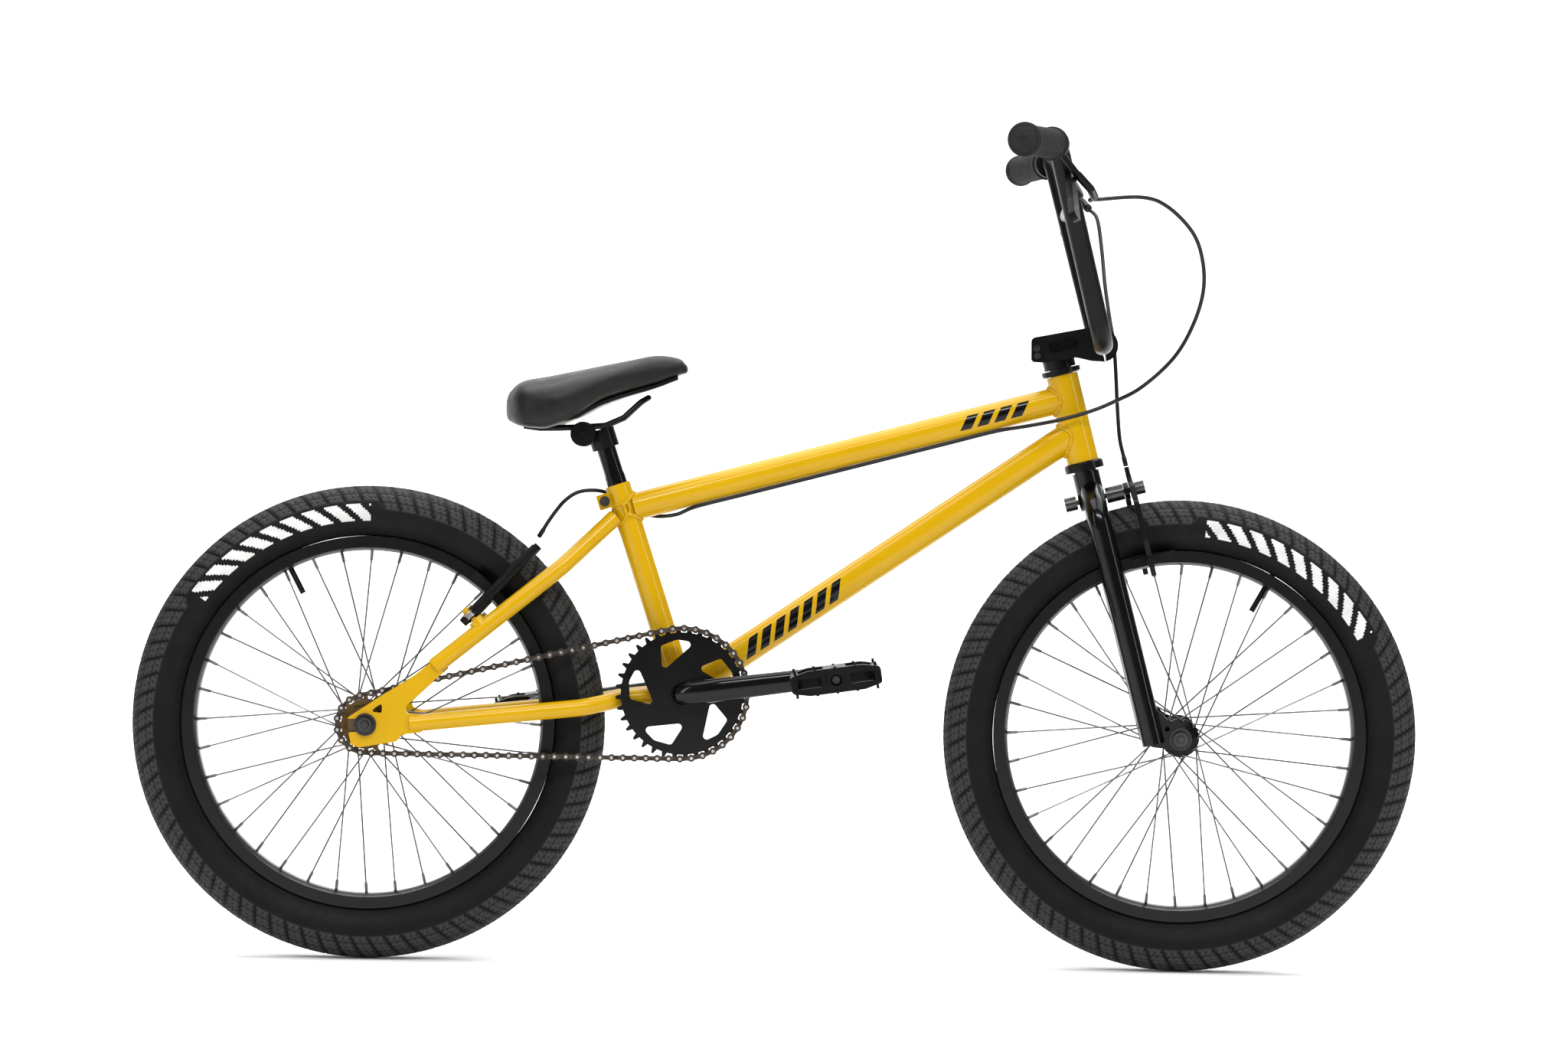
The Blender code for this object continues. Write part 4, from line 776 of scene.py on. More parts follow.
def build_chain():
    """Every link: narrow and wide pairs of plates in turn, with pins through them and rollers between."""
    plates = bmesh.new()
    pin_mesh = bmesh.new()
    outline = []
    for k in range(9):
        angle = radians(38 + 284 * k / 8)
        outline.append((CHAIN_PITCH * -0.5 + 0.0041 * cos(angle), 0.0041 * sin(angle)))
    outline.append((0.0, -0.0024))
    for k in range(9):
        angle = radians(-142 + 284 * k / 8)
        outline.append((CHAIN_PITCH * 0.5 + 0.0041 * cos(angle), 0.0041 * sin(angle)))
    outline.append((0.0, 0.0024))
    for k, (point, _) in enumerate(pins):
        after = pins[(k + 1) % len(pins)][0]
        middle = (point + after) / 2
        along = (after - point).normalized()
        upward = LEFT.cross(along)
        for side in (-1, 1):
            offset = 0.0033 if k % 2 else 0.0023
            plate(outline, [], 0.0009, middle + LEFT * (side * offset), along, upward, plates)
        rod(point - LEFT * 0.0018, point + LEFT * 0.0018, 0.0038, 14, into=plates)
        rod(point - LEFT * 0.0041, point + LEFT * 0.0041, 0.0018, 12, into=pin_mesh)
    return plates, pin_mesh


chain_plates, chain_pins = build_chain()
place("chain", chain_plates, CHAIN_BROWN, bevel=0.00015)
pin_obj = place("chain_pins", chain_pins, STEEL)
pin_obj["stands_for"] = ""


def toothed(centre, count, pitch_radius, first_pin):
    """Outline of a sprocket whose gaps are centred on the chain's pins."""
    out = []
    step = 2 * pi / count
    start = atan2(first_pin.z - centre.z, first_pin.x - centre.x)
    for i in range(count):
        base = start + i * step
        for part, radius in ((-0.24, -0.0046), (0.24, -0.0046), (0.4, 0.0014), (0.6, 0.0014)):
            angle = base + part * step
            out.append(((pitch_radius + radius) * cos(angle),
                (pitch_radius + radius) * sin(angle)))
    return out


X = Vector((1.0, 0.0, 0.0))
Z = Vector((0.0, 0.0, 1.0))


def pin_on(centre, radius):
    """A pin well inside the chain's wrap round a sprocket."""
    best = None
    away = centre - (chain_back + chain_front) / 2
    for point, way in pins:
        if abs((point - centre).length - radius) < 1e-6 and (best is None or way.dot(away) > best[1]):
            best = (point, way.dot(away))
    return best[0]
cog_outline = toothed(chain_back, COG_TEETH, COG_RADIUS, pin_on(chain_back, COG_RADIUS))
cog = plate(cog_outline, [disc(0.0143, 64)], 0.0028, chain_back, X, Z)
cog_obj = place("freewheel_cog", cog, BRONZE, "freewheel")
core = bored(REAR_AXLE - LEFT * 0.0522, REAR_AXLE - LEFT * 0.0401, 0.02, 0.0103, 56)
join(cog_obj, core)
windows = []
for k in range(5):
    base = 3.0 + 72.0 * k
    corners = []
    for radius, turn, soft in ((0.0585, 2.0, 0.004), (0.0605, 21.0, 0.01), (0.0585, 40.0, 0.004),
        (0.033, 58.0, 0.004)):
        angle = radians(base + turn)
        corners.append((radius * cos(angle), radius * sin(angle), soft))
    windows.append(rounded(corners, 8))
ring_outline = toothed(chain_front, CHAINRING_TEETH, RING_RADIUS, pin_on(chain_front, RING_RADIUS))
chainring = plate(ring_outline, windows + [disc(0.0125, 64)], 0.003, chain_front, X, Z)
place("sprocket", chainring, GLOSS_BLACK, "crankset")

crank_out = Vector((cos(radians(CRANK_ANGLE)), 0.0, sin(radians(CRANK_ANGLE))))
crank_up = Vector((-crank_out.z, 0.0, crank_out.x))
PEDAL_RIGHT = BB_CENTRE + crank_out * CRANK_LENGTH + LEFT * -0.085
PEDAL_LEFT = BB_CENTRE - crank_out * CRANK_LENGTH + LEFT * 0.085


def build_crank():
    """One forging: an S of two flat arms and the spindle between them."""
    points = []
    widths = []
    for along, side, thick, deep in (
        (-0.1805, 0.085, 0.012, 0.013), (-0.174, 0.085, 0.013, 0.021), (-0.16, 0.085, 0.013, 0.024),
        (-0.12, 0.08, 0.013, 0.024), (-0.045, 0.068, 0.014, 0.026), (-0.013, 0.063, 0.016, 0.026),
        (-0.001, 0.054, 0.019, 0.022), (0.0, 0.044, 0.02, 0.02), (0.0, -0.044, 0.02, 0.02),
        (0.001, -0.054, 0.019, 0.022), (0.013, -0.063, 0.016, 0.026), (0.045, -0.068, 0.014, 0.026),
        (0.12, -0.08, 0.013, 0.024), (0.16, -0.085, 0.013, 0.024), (0.174, -0.085, 0.013, 0.021),
        (0.1805, -0.085, 0.012, 0.013),
    ):
        points.append(BB_CENTRE + crank_out * along + LEFT * side)
        widths.append((deep / 2, thick / 2))
    return swept(points, circle(1.0, 40), hint=crank_up, scales=widths)


crank = place("crank", build_crank(), GLOSS_BLACK, "crankset")
cut(crank, rod(PEDAL_RIGHT - LEFT * 0.02, PEDAL_RIGHT + LEFT * 0.02, 0.007, 40))
cut(crank, rod(PEDAL_LEFT - LEFT * 0.02, PEDAL_LEFT + LEFT * 0.02, 0.007, 40))

for side, name, centre in ((-1, "right", PEDAL_RIGHT), (1, "left", PEDAL_LEFT)):
    out = LEFT * side
    spindle = [
        (0, -0.0065), (0.0067, -0.0065), (0.0067, 0.0068), (0.0085, 0.0068), (0.0085, 0.009),
        (0.0055, 0.01), (0.0045, 0.095), (0, 0.095),
    ]
    place("pedal_spindle_" + name, turned(spindle, centre, out, 40), DARK_STEEL, "crankset")
    tilt = radians(8.5)
    fore = Vector((cos(tilt), 0.0, sin(tilt)))
    top = Vector((-fore.z, 0.0, fore.x))
    outline = rounded([
        (-0.0495, -0.009, 0.004), (-0.03, -0.0135, 0.01), (0.03, -0.0135, 0.01),
        (0.0495, -0.009, 0.004),
        (0.0495, 0.009, 0.004), (0.03, 0.0135, 0.01), (-0.03, 0.0135, 0.01), (-0.0495, 0.009, 0.004),
    ], 4)
    body = plate(outline, [disc(0.0062, 12)], 0.092, centre + out * 0.057, fore, top)
    pedal = place("pedal_" + name, body, PLASTIC, "pedal_" + name[0])
    for shift in (-0.0265, 0.0265):
        slot = rounded([
            (-0.014, -0.034, 0.008), (0.014, -0.034, 0.008), (0.014, 0.034, 0.008),
            (-0.014, 0.034, 0.008),
        ], 6)
        hole = plate(slot, [], 0.04, centre + out * 0.057 + fore * shift, fore, out)
        cut(pedal, hole)
    for along in (-0.029, 0.029):
        slot = box(centre + out * 0.1015 + fore * along, fore, top, (0.026, 0.0105, 0.03))
        cut(pedal, slot)
    pins_bm = bmesh.new()
    for along in (-0.044, -0.022, 0.0, 0.022, 0.044):
        for across_at in (0.017, 0.097):
            foot = centre + out * across_at + fore * along
            for face in (-1, 1):
                level = 0.0105 if abs(along) > 0.04 else 0.0125
                rod(foot + top * (face * level), foot + top * (face * 0.0148), 0.0016, 10, into=pins_bm)
    bearing = centre + out * 0.0108
    turned([(0.0064, 0), (0.0107, 0), (0.0107, 0.0006), (0.0064, 0.0006)], bearing - out * 0.0006, out,
        36, into=pins_bm)
    pedal_trim = place("pedal_pins_" + name, pins_bm, PLASTIC, "pedal_" + name[0])
    pedal_trim["stands_for"] = ""


# Frame
def tube_between(bm_to, start, end, radius, sides=16):
    join(bm_to, rod(start, end, radius, sides))


HEAD_TOP = HEAD_CENTRE + HEAD_UP * (HEAD_LENGTH / 2)
HEAD_FOOT = HEAD_CENTRE - HEAD_UP * (HEAD_LENGTH / 2)
bike = place("frame", rod(HEAD_FOOT, HEAD_TOP, 0.018, 72), YELLOW)
top_way = Vector((1.0, 0.0, 0.2705)).normalized()
down_way = Vector((1.0, 0.0, 0.6862)).normalized()
top_rear = Vector((-0.158, 0.0, 0.5125))
top_front = Vector((0.32, 0.0, 0.5142 + 0.2705 * 0.4717))
down_front = Vector((0.332, 0.0, 0.3536 + 0.6862 * 0.365))
tube_between(bike, BB_CENTRE + SEAT_UP * 0.003, SEAT_TOP, 0.0143, 64)
tube_between(bike, top_rear - top_way * 0.004, top_front, 0.0155, 64)
tube_between(bike, BB_CENTRE + down_way * 0.005, down_front, 0.0166, 64)
tube_between(bike, BB_CENTRE - LEFT * 0.034, BB_CENTRE + LEFT * 0.034, 0.0285, 80)
for side in (-1, 1):
    seatstay = bends([
        (-0.38, side * 0.0555, 0.33), (-0.28, side * 0.044, 0.4112),
        (-0.24, side * 0.038, 0.4437), (-0.183, side * 0.012, 0.499),
    ], [0.08, 0.05], 12)
    join(bike, swept(seatstay, circle(0.0095, 40)))
    chainstay = bends([
        (-0.406, side * 0.056, 0.2665), (-0.215, side * 0.046, 0.2872),
        (-0.17, side * 0.027, 0.2968), (-0.11, side * 0.0215, 0.304),
    ], [0.04, 0.04], 12)
    join(bike, swept(chainstay, circle(0.0095, 40)))
    outline = rounded([
        (-0.4742, 0.2727, 0.003), (-0.4742, 0.2712, 0), (-0.45, 0.2712, 0), (-0.443, 0.2685, 0.002),
        (-0.443, 0.26, 0.002), (-0.45, 0.2578, 0), (-0.4735, 0.256, 0.002),
        (-0.47, 0.242, 0.006),
        (-0.461, 0.2395, 0.004), (-0.4195, 0.2468, 0.004), (-0.414, 0.2545, 0.003),
        (-0.392, 0.2575, 0),
        (-0.392, 0.276, 0), (-0.418, 0.279, 0.006), (-0.37, 0.324, 0), (-0.38, 0.338, 0),
        (-0.406, 0.317, 0.004), (-0.4359, 0.2985, 0.006),
    ], 6)
    window = rounded([(-0.45, 0.2795, 0.002), (-0.437, 0.278, 0.002), (-0.436, 0.29, 0.002)], 4)
    join(bike, plate(outline, [window], 0.0055, Vector((0.0, side * 0.05775, 0.0)), X, Z))
    boss_way = Vector((-0.735, 0.0, 0.678))
    stay_point = Vector((-0.326, side * 0.0494, 0.374))
    join(bike, rod(stay_point, stay_point + boss_way * 0.0135, 0.0085, 32))
    join(bike, rod(stay_point + boss_way * 0.01, stay_point + boss_way * 0.03, 0.0039, 28))
lug = SEAT_TOP - SEAT_UP * 0.014 - SEAT_FORWARD * 0.019
join(bike, box(lug, SEAT_FORWARD, SEAT_UP, (0.016, 0.017, 0.017)))
for guide_point in (Vector((0.2426, -0.008, 0.6044)), Vector((0.07, -0.008, 0.5576)),
    Vector((-0.092, -0.008, 0.5138))):
    below = Vector((guide_point.x, -0.003, guide_point.z + 0.004))
    join(bike, box(below, top_way, Vector((-0.26, 0.0, 1.0)), (0.012, 0.0075, 0.004)))
cut(bike, rod(HEAD_FOOT - HEAD_UP * 0.01, HEAD_TOP + HEAD_UP * 0.01, 0.0158, 64))
cut(bike, rod(BB_CENTRE + SEAT_UP * 0.06, SEAT_TOP + SEAT_UP * 0.02, 0.0119, 48))
cut(bike, rod(BB_CENTRE - LEFT * 0.05, BB_CENTRE + LEFT * 0.05, 0.0255, 64))
cut(bike, box(lug - SEAT_FORWARD * 0.001, SEAT_FORWARD, SEAT_UP, (0.026, 0.06, 0.0022)))
cut(bike, rod(lug - LEFT * 0.02, lug + LEFT * 0.02, 0.0033, 24))

bolt = [
    (0, -0.0155), (0.0058, -0.0155), (0.0058, -0.0089), (0.0029, -0.0089), (0.0029, 0.0088),
    (0.0052, 0.0089), (0.0052, 0.0135), (0, 0.0135),
]
place("seat_clamp_bolt", turned(bolt, lug, LEFT, 40), DARK_STEEL)
for side, name in ((-1, "right"), (1, "left")):
    cup = [
        (0.0104, 0.02), (0.024, 0.02), (0.024, 0.0343), (0.0262, 0.0345), (0.0262, 0.0385),
        (0.0104, 0.0385),
    ]
    place("bb_cup_" + name, turned(cup, BB_CENTRE, LEFT * side, 72), SATIN_BLACK)
upper = [(0.0133, 0.0503), (0.02, 0.0503), (0.022, 0.052), (0.022, 0.057), (0.0133, 0.057)]
place("headset_cup_upper", turned(upper, HEAD_CENTRE, HEAD_UP, 72), SATIN_BLACK)
lower = [(0.0133, -0.06), (0.022, -0.06), (0.022, -0.052), (0.02, -0.0503), (0.0133, -0.0503)]
place("headset_cup_lower", turned(lower, HEAD_CENTRE, HEAD_UP, 72), SATIN_BLACK)


# Seat
SADDLE_CLAMP = SEAT_TOP + SEAT_UP * 0.0585
post_low = SEAT_TOP - SEAT_UP * 0.12
post = [
    (0, 0), (0.0115, 0), (0.0115, 0.129), (0.0108, 0.133), (0.0108, 0.1775), (0, 0.1775),
]
place("seatpost", turned(post, post_low, SEAT_UP, 64), GLOSS_BLACK, "seat")
clamp = bored(SADDLE_CLAMP - SEAT_UP * 0.016, SADDLE_CLAMP + SEAT_UP * 0.006, 0.0155, 0.0112, 48)
clamp_obj = place("saddle_clamp", clamp, SATIN_BLACK, "seat")
RAIL_CLAMP = Vector((-0.22, 0.0, 0.592))
join(clamp_obj, rod(RAIL_CLAMP - LEFT * 0.014, RAIL_CLAMP + LEFT * 0.014, 0.009, 40))
for side in (-1, 1):
    near = RAIL_CLAMP + LEFT * (side * 0.0135)
    join(clamp_obj, rod(near, near + LEFT * (side * 0.0035), 0.014, 48))
    far = RAIL_CLAMP + LEFT * (side * 0.0262)
    join(clamp_obj, rod(near, far + LEFT * (side * 0.007), 0.004, 24))
    join(clamp_obj, rod(far, far + LEFT * (side * 0.0035), 0.014, 48))
cut(clamp_obj, rod(post_low, post_low + SEAT_UP * 0.1778, 0.0112, 48))

SADDLE_SPINE = (  # X, underside, top, half width
    (-0.305, 0.613, 0.64, 0.04), (-0.29, 0.609, 0.65, 0.066), (-0.26, 0.607, 0.656, 0.078),
    (-0.23, 0.613, 0.6625, 0.076), (-0.198, 0.629, 0.6695, 0.06), (-0.17, 0.6395, 0.6755, 0.04),
    (-0.14, 0.649, 0.6815, 0.027), (-0.115, 0.659, 0.679, 0.02), (-0.106, 0.662, 0.672, 0.013),
)


def smooth_spine(rows, steps):
    """The saddle's sections, filled in along its length."""
    columns = [curved([(r[0], r[k], 0.0) for r in rows], steps) for k in (1, 2, 3)]
    return [(a.x, a.y, b.y, c.y) for a, b, c in zip(*columns)]


SADDLE_SKIRT = 0.0115  # how far the sides hang below the underside at the tail


def saddle_cover():
    """Crowned cover that rolls round its edge and tucks under; closed at tail and nose."""
    bm = bmesh.new()
    rings = []
    spine = smooth_spine(SADDLE_SPINE, 8)
    for x, low, high, half in spine:
        tail = max(0.0, 1.0 - (x - spine[0][0]) / 0.024)
        shrink = 1.0 - 0.45 * (1.0 - sqrt(1.0 - tail ** 2))
        half *= shrink
        middle = (low + high) / 2
        reach = (high - low) / 2 * shrink
        low, high = middle - reach, middle + reach
        thick = high - low
        ring = []
        for turn in range(0, 360, 6):
            angle = radians(turn)
            c, s = cos(angle), sin(angle)
            power = 0.72 if s > 0 else 0.5
            y = half * copysign(abs(c) ** power, c)
            reach = abs(s) ** (0.85 if s > 0 else 0.45)
            z = low + thick * (0.36 + (0.64 * reach if s > 0 else -0.36 * reach))
            if s < 0:
                z -= SADDLE_SKIRT * max(0.0,
                    min(1.0, (-0.2 - x) / 0.06)) * abs(sin(2 * angle)) ** 0.7
            ring.append(bm.verts.new((x, y, z)))
        rings.append(ring)
    skin(bm, rings)
    for end, ring in ((-1, rings[0]), (1, rings[-1])):
        middle = sum((v.co for v in ring), Vector()) / len(ring)
        inner = [bm.verts.new(middle + (v.co - middle) * 0.55 + X * (0.0016 * end)) for v in ring]
        tip = [bm.verts.new(middle + X * (0.0022 * end))]
        skin(bm, [ring, inner, tip])
    return bm


cover = place("saddle_cover", saddle_cover(), SADDLE_BLACK, "seat", sharp=70)
base_spine = [(x, low - 0.0043, low - 0.0003, half) for x, low, high,
    half in smooth_spine(SADDLE_SPINE, 8)[8:-8]]
base = bmesh.new()
base_rings = []
for x, low, high, half in base_spine:
    ring = [base.verts.new((x, side * half * 0.86, z)) for side,
        z in ((-1, low), (1, low), (1, high), (-1, high))]
    base_rings.append(ring)
skin(base, base_rings)
base.faces.new(base_rings[0])
base.faces.new(base_rings[-1])
place("saddle_base", base, PLASTIC, "seat")
rail = []
for x, y, z in (
    (-0.286, -0.033, 0.6), (-0.27, -0.032, 0.598), (-0.248, -0.022, 0.5985),
    (-0.22, -0.0215, 0.5998),
    (-0.195, -0.0215, 0.602), (-0.175, -0.019, 0.611), (-0.156, -0.012, 0.629),
    (-0.148, 0.0, 0.634),
):
    rail.append(Vector((x, y, z)))
rail += [Vector((p.x, -p.y, p.z)) for p in reversed(rail[:-1])]
place("saddle_rails", swept(rail, circle(0.0034, 28), hint=Z), SATIN_BLACK, "seat")


# Fork, in steering coordinates: forward of the axis, left, up from the head tube's centre
steerer = rod(steer(0, 0, -0.095), steer(0, 0, 0.0945), 0.0127, 64)
fork = place("fork", steerer, GLOSS_BLACK, "steering")
join(fork, rod(steer(0, 0, -0.104), steer(0, 0, -0.062), 0.0152, 64))
for side in (-1, 1):
    leg = bends([
        steer(0.0015, side * 0.01, -0.085), steer(0.0015, side * 0.048, -0.108),
        steer(0.0015, side * 0.053, -0.374),
    ], [0.035], 14)
    join(fork, swept(leg, circle(0.0127, 48)))
    outline = rounded([
        (0.4274, 0.2983, 0), (0.44, 0.287, 0.004), (0.46, 0.279, 0.01), (0.47, 0.265, 0.01),
        (0.46, 0.252, 0.008), (0.4248, 0.2552, 0.004), (0.412, 0.26, 0), (0.412, 0.285, 0),
    ], 6)
    tip = plate(outline, [disc(0.003, 8, (0.44, 0.276))], 0.0046, Vector((0.0, side * 0.0526, 0.0)),
        X, Z)
    join(fork, tip)
    slot = box(FRONT_AXLE + LEFT * (side * 0.0526) - HEAD_UP * 0.012, X, LEFT, (0.0104, 0.012, 0.024))
    cut(fork, slot)
    hole = rod(FRONT_AXLE + LEFT * (side * 0.045), FRONT_AXLE + LEFT * (side * 0.06), 0.0053, 32)
    cut(fork, hole)
    cut(fork, rod(FRONT_AXLE + LEFT * (side * 0.0553), FRONT_AXLE + LEFT * (side * 0.07), 0.0135, 48))
cut(fork, rod(steer(-0.04, 0, -0.0935), steer(0.04, 0, -0.0935), 0.0034, 24))

# Stem and its faceplate
bar_at = (0.0505, 0.0718)
outline = rounded([
    (-0.03, 0.0725, 0.004), (-0.0235, 0.0985, 0.005), (0.04, 0.0945, 0.008), (0.05, 0.0905, 0),
    (0.05, 0.0531, 0), (0.036, 0.0575, 0.006), (0.02, 0.0655, 0.006), (-0.0142, 0.0677, 0.004),
], 6)
stem_body = plate(outline, [], 0.048, HEAD_CENTRE, HEAD_FORWARD, HEAD_UP)
stem = place("stem", stem_body, SATIN_BLACK, "steering")
join(stem, rod(steer(0, 0, 0.0576), steer(0, 0, 0.072), 0.018, 72))
cut(stem, rod(steer(0, 0, 0.05), steer(0, 0, 0.0948), 0.0132, 64))
cut(stem, rod(steer(bar_at[0], -0.03, bar_at[1]), steer(bar_at[0], 0.03, bar_at[1]), 0.0114, 64))
window = rounded([(-0.007, 0.0765, 0.004), (0.026, 0.0765, 0.004), (0.026, 0.088, 0.004),
    (-0.007, 0.088, 0.004)], 6)
for side in (-1, 1):
    pocket = plate(window, [], 0.018, HEAD_CENTRE + LEFT * (side * 0.0255), HEAD_FORWARD, HEAD_UP)
    cut(stem, pocket)
cut(stem, box(steer(-0.023, 0, 0.082), HEAD_FORWARD, HEAD_UP, (0.022, 0.05, 0.002)))
face = []
for i in range(13):
    angle = radians(90 - 15 * i)
    face.append((bar_at[0] + 0.0012 + 0.0175 * cos(angle), bar_at[1] + 0.0187 * sin(angle)))
for i in range(11):
    angle = radians(-80 + 16 * i)
    face.append((bar_at[0] + 0.0114 * cos(angle), bar_at[1] + 0.0114 * sin(angle)))
place("stem_faceplate", plate(face, [], 0.046, HEAD_CENTRE, HEAD_FORWARD, HEAD_UP), SATIN_BLACK,
    "steering")
for name, forward, up in (("upper", -0.0206, 0.0857), ("lower", -0.0219, 0.0773)):
    centre = steer(forward, 0, up)
    cut(stem, rod(centre - LEFT * 0.03, centre + LEFT * 0.03, 0.0022, 20))
    bolt = [(0, -0.028), (0.0039, -0.028), (0.0039, -0.0243), (0.0019, -0.0243), (0.0019, 0.025),
        (0, 0.025)]
    place("stem_pinch_bolt_" + name, turned(bolt, centre, LEFT, 28), DARK_STEEL, "steering")

# Handlebar, grips and brake levers
LOWER_BEND = Vector((0.3593, 0.115, 0.702))
UPPER_BEND = Vector((0.304, 0.2, 0.916))
GRIP_WAY = (Vector((0.2655, 0.356, 0.913)) - UPPER_BEND).normalized()
BAR_END = UPPER_BEND + GRIP_WAY * 0.1565
CROSSBAR = LOWER_BEND.lerp(UPPER_BEND, 0.703)
half = [LOWER_BEND, UPPER_BEND, BAR_END]
corners = mirrored(reversed(half)) + half
bar_line = bends(corners, [0.022, 0.045, 0.045, 0.022], 14)
bar = place("handlebar", swept(bar_line, circle(BAR_RADIUS, 48)), SATIN_BLACK,
            "steering")
join(bar, rod(mirrored([CROSSBAR])[0], CROSSBAR, 0.008, 40))


def to_side(point, side):
    return Vector((point.x, point.y * side, point.z))


grip = [(0.0113, 0), (0.0178, 0), (0.0185, 0.0008), (0.0185, 0.0028), (0.016, 0.004)]
for k in range(34):
    base = 0.007 + k * 0.0033
    grip += [(0.0152, base), (0.0163, base + 0.0007), (0.0163, base + 0.0021), (0.0152, base + 0.0028)]
grip += [
    (0.0165, 0.122), (0.0183, 0.1238), (0.0185, 0.125), (0.0185, 0.128), (0.0178, 0.1292),
    (0.014, 0.1298),
    (0.0133, 0.1302), (0.0133, 0.133), (0.012, 0.1335), (0.004, 0.1335), (0.003, 0.1325), (0, 0.1325),
    (0, 0.1302), (0.0113, 0.1302),
]
lever_axis = {}
lever_barrel = {}
for side, name in ((-1, "right"), (1, "left")):
    way = to_side(GRIP_WAY, side)
    start = to_side(UPPER_BEND + GRIP_WAY * 0.0268, side)
    place("grip_" + name, turned(grip, start, way, 72), GRIP_BLACK, "steering")
    ring_at = start - way * 0.0062
    hinge = Vector((0.319, side * 0.205, 0.877))
    blade = (Vector((0.318, side * 0.31, 0.838)) - hinge).normalized()
    pull = Vector((-0.4745, 0.0, 0.88))
    pull = (pull - blade * pull.dot(blade)).normalized()
    axis = blade.cross(pull)
    lever_axis[name] = (hinge, axis)
    cheek = hinge + axis * (0.0098 * side)
    ring = bored(ring_at - way * 0.005, ring_at + way * 0.005, 0.0165, 0.0113, 56)
    clamp_obj = place("lever_clamp_" + name, ring, PLASTIC, "steering")
    foot = ring_at + (cheek - ring_at).normalized() * 0.0165
    arm = swept([foot, cheek.lerp(foot, 0.4), cheek], circle(0.006, 28, 0.0036), hint=way)
    join(clamp_obj, arm)
    barrel = Vector((0.345, side * 0.165, 0.862))
    knee = Vector((0.34, side * 0.196, 0.869))
    join(clamp_obj, swept([cheek - (knee - cheek) * 0.15, knee, barrel], circle(0.0046, 28)))
    lever_barrel[name] = (barrel, (barrel - knee).normalized())
    join(clamp_obj, rod(hinge - axis * (side * 0.0052), cheek, 0.0028, 24))
    outline = rounded([
        (-0.008, -0.02, 0.003), (0.004, -0.022, 0.004), (0.012, -0.007, 0.006),
        (0.06, -0.01, 0.05),
        (0.103, -0.014, 0.004), (0.112, -0.008, 0.004), (0.11, 0.0, 0.004),
        (0.062, 0.002, 0.05),
        (0.014, 0.007, 0.01), (-0.006, 0.007, 0.004),
    ], 6)
    lever = plate(outline, [disc(0.0033, 24)], 0.0072, hinge, blade, pull)
    place("brake_lever_" + name, lever, PLASTIC, "lever_" + name[0])

# Front caliper: two arms on one bolt through the crown
bolt = [
    (0, -0.031), (0.008, -0.031), (0.008, -0.0175), (0.003, -0.0175), (0.003, 0.0165),
    (0.009, 0.0165),
    (0.009, 0.0363), (0.003, 0.0363), (0.003, 0.05), (0.0075, 0.05), (0.0075, 0.0605), (0, 0.0605),
]
place("front_brake_bolt", turned(bolt, steer(0, 0, -0.0935), HEAD_FORWARD, 48), DARK_STEEL, "steering")
for side, name, layer in ((1, "left", 0.0399), (-1, "right", 0.0465)):
    on = "front_arm_" + name[0]
    outline = [
        (-0.008, -0.089, 0.003), (0.006, -0.084, 0.004), (0.03, -0.088, 0.01),
        (0.046, -0.105, 0.012),
        (0.048, -0.15, 0.03), (0.044, -0.192, 0.003), (0.0365, -0.192, 0.003),
        (0.038, -0.15, 0.03),
        (0.0355, -0.118, 0.008), (0.022, -0.103, 0.01), (0.0, -0.103, 0.004),
        (-0.008, -0.098, 0.003),
    ]
    points = rounded([(y * side, up, soft) for y, up, soft in outline], 6)
    arm = plate(points, [disc(0.0034, 28, (0.0, -0.0935))], 0.0058, steer(layer, 0, 0), LEFT, HEAD_UP)
    arm_obj = place("front_brake_arm_" + name, arm, SATIN_BLACK, on)
    if name == "right":
        ear = rounded([
            (-0.004, -0.087, 0.0), (0.006, -0.086, 0.0), (0.024, -0.079, 0.004),
            (0.0345, -0.076, 0.002),
            (0.0345, -0.083, 0.002), (0.024, -0.088, 0.004), (0.006, -0.0945, 0.0),
            (0.0045, -0.093, 0.0),
        ], 4)
        join(arm_obj, plate(ear, [], 0.0058, steer(layer, 0, 0), LEFT, HEAD_UP))
        join(arm_obj, rod(steer(layer, 0.03, -0.08), steer(layer, 0.03, -0.068), 0.0028, 24))
    stud = steer(layer, side * 0.028, -0.175)
    join(arm_obj, rod(steer(layer, side * 0.04, -0.175), steer(layer, side * 0.051, -0.175), 0.0055, 6))
    pad = box(steer(layer + 0.004, side * 0.023, -0.1745), HEAD_FORWARD, HEAD_UP,
        (0.05, 0.01, 0.009))
    pad_obj = place("front_brake_pad_" + name, pad, TYRE_BLACK, on)
    join(pad_obj, rod(stud - LEFT * (side * 0.003), steer(layer, side * 0.0358, -0.175), 0.0032, 24))

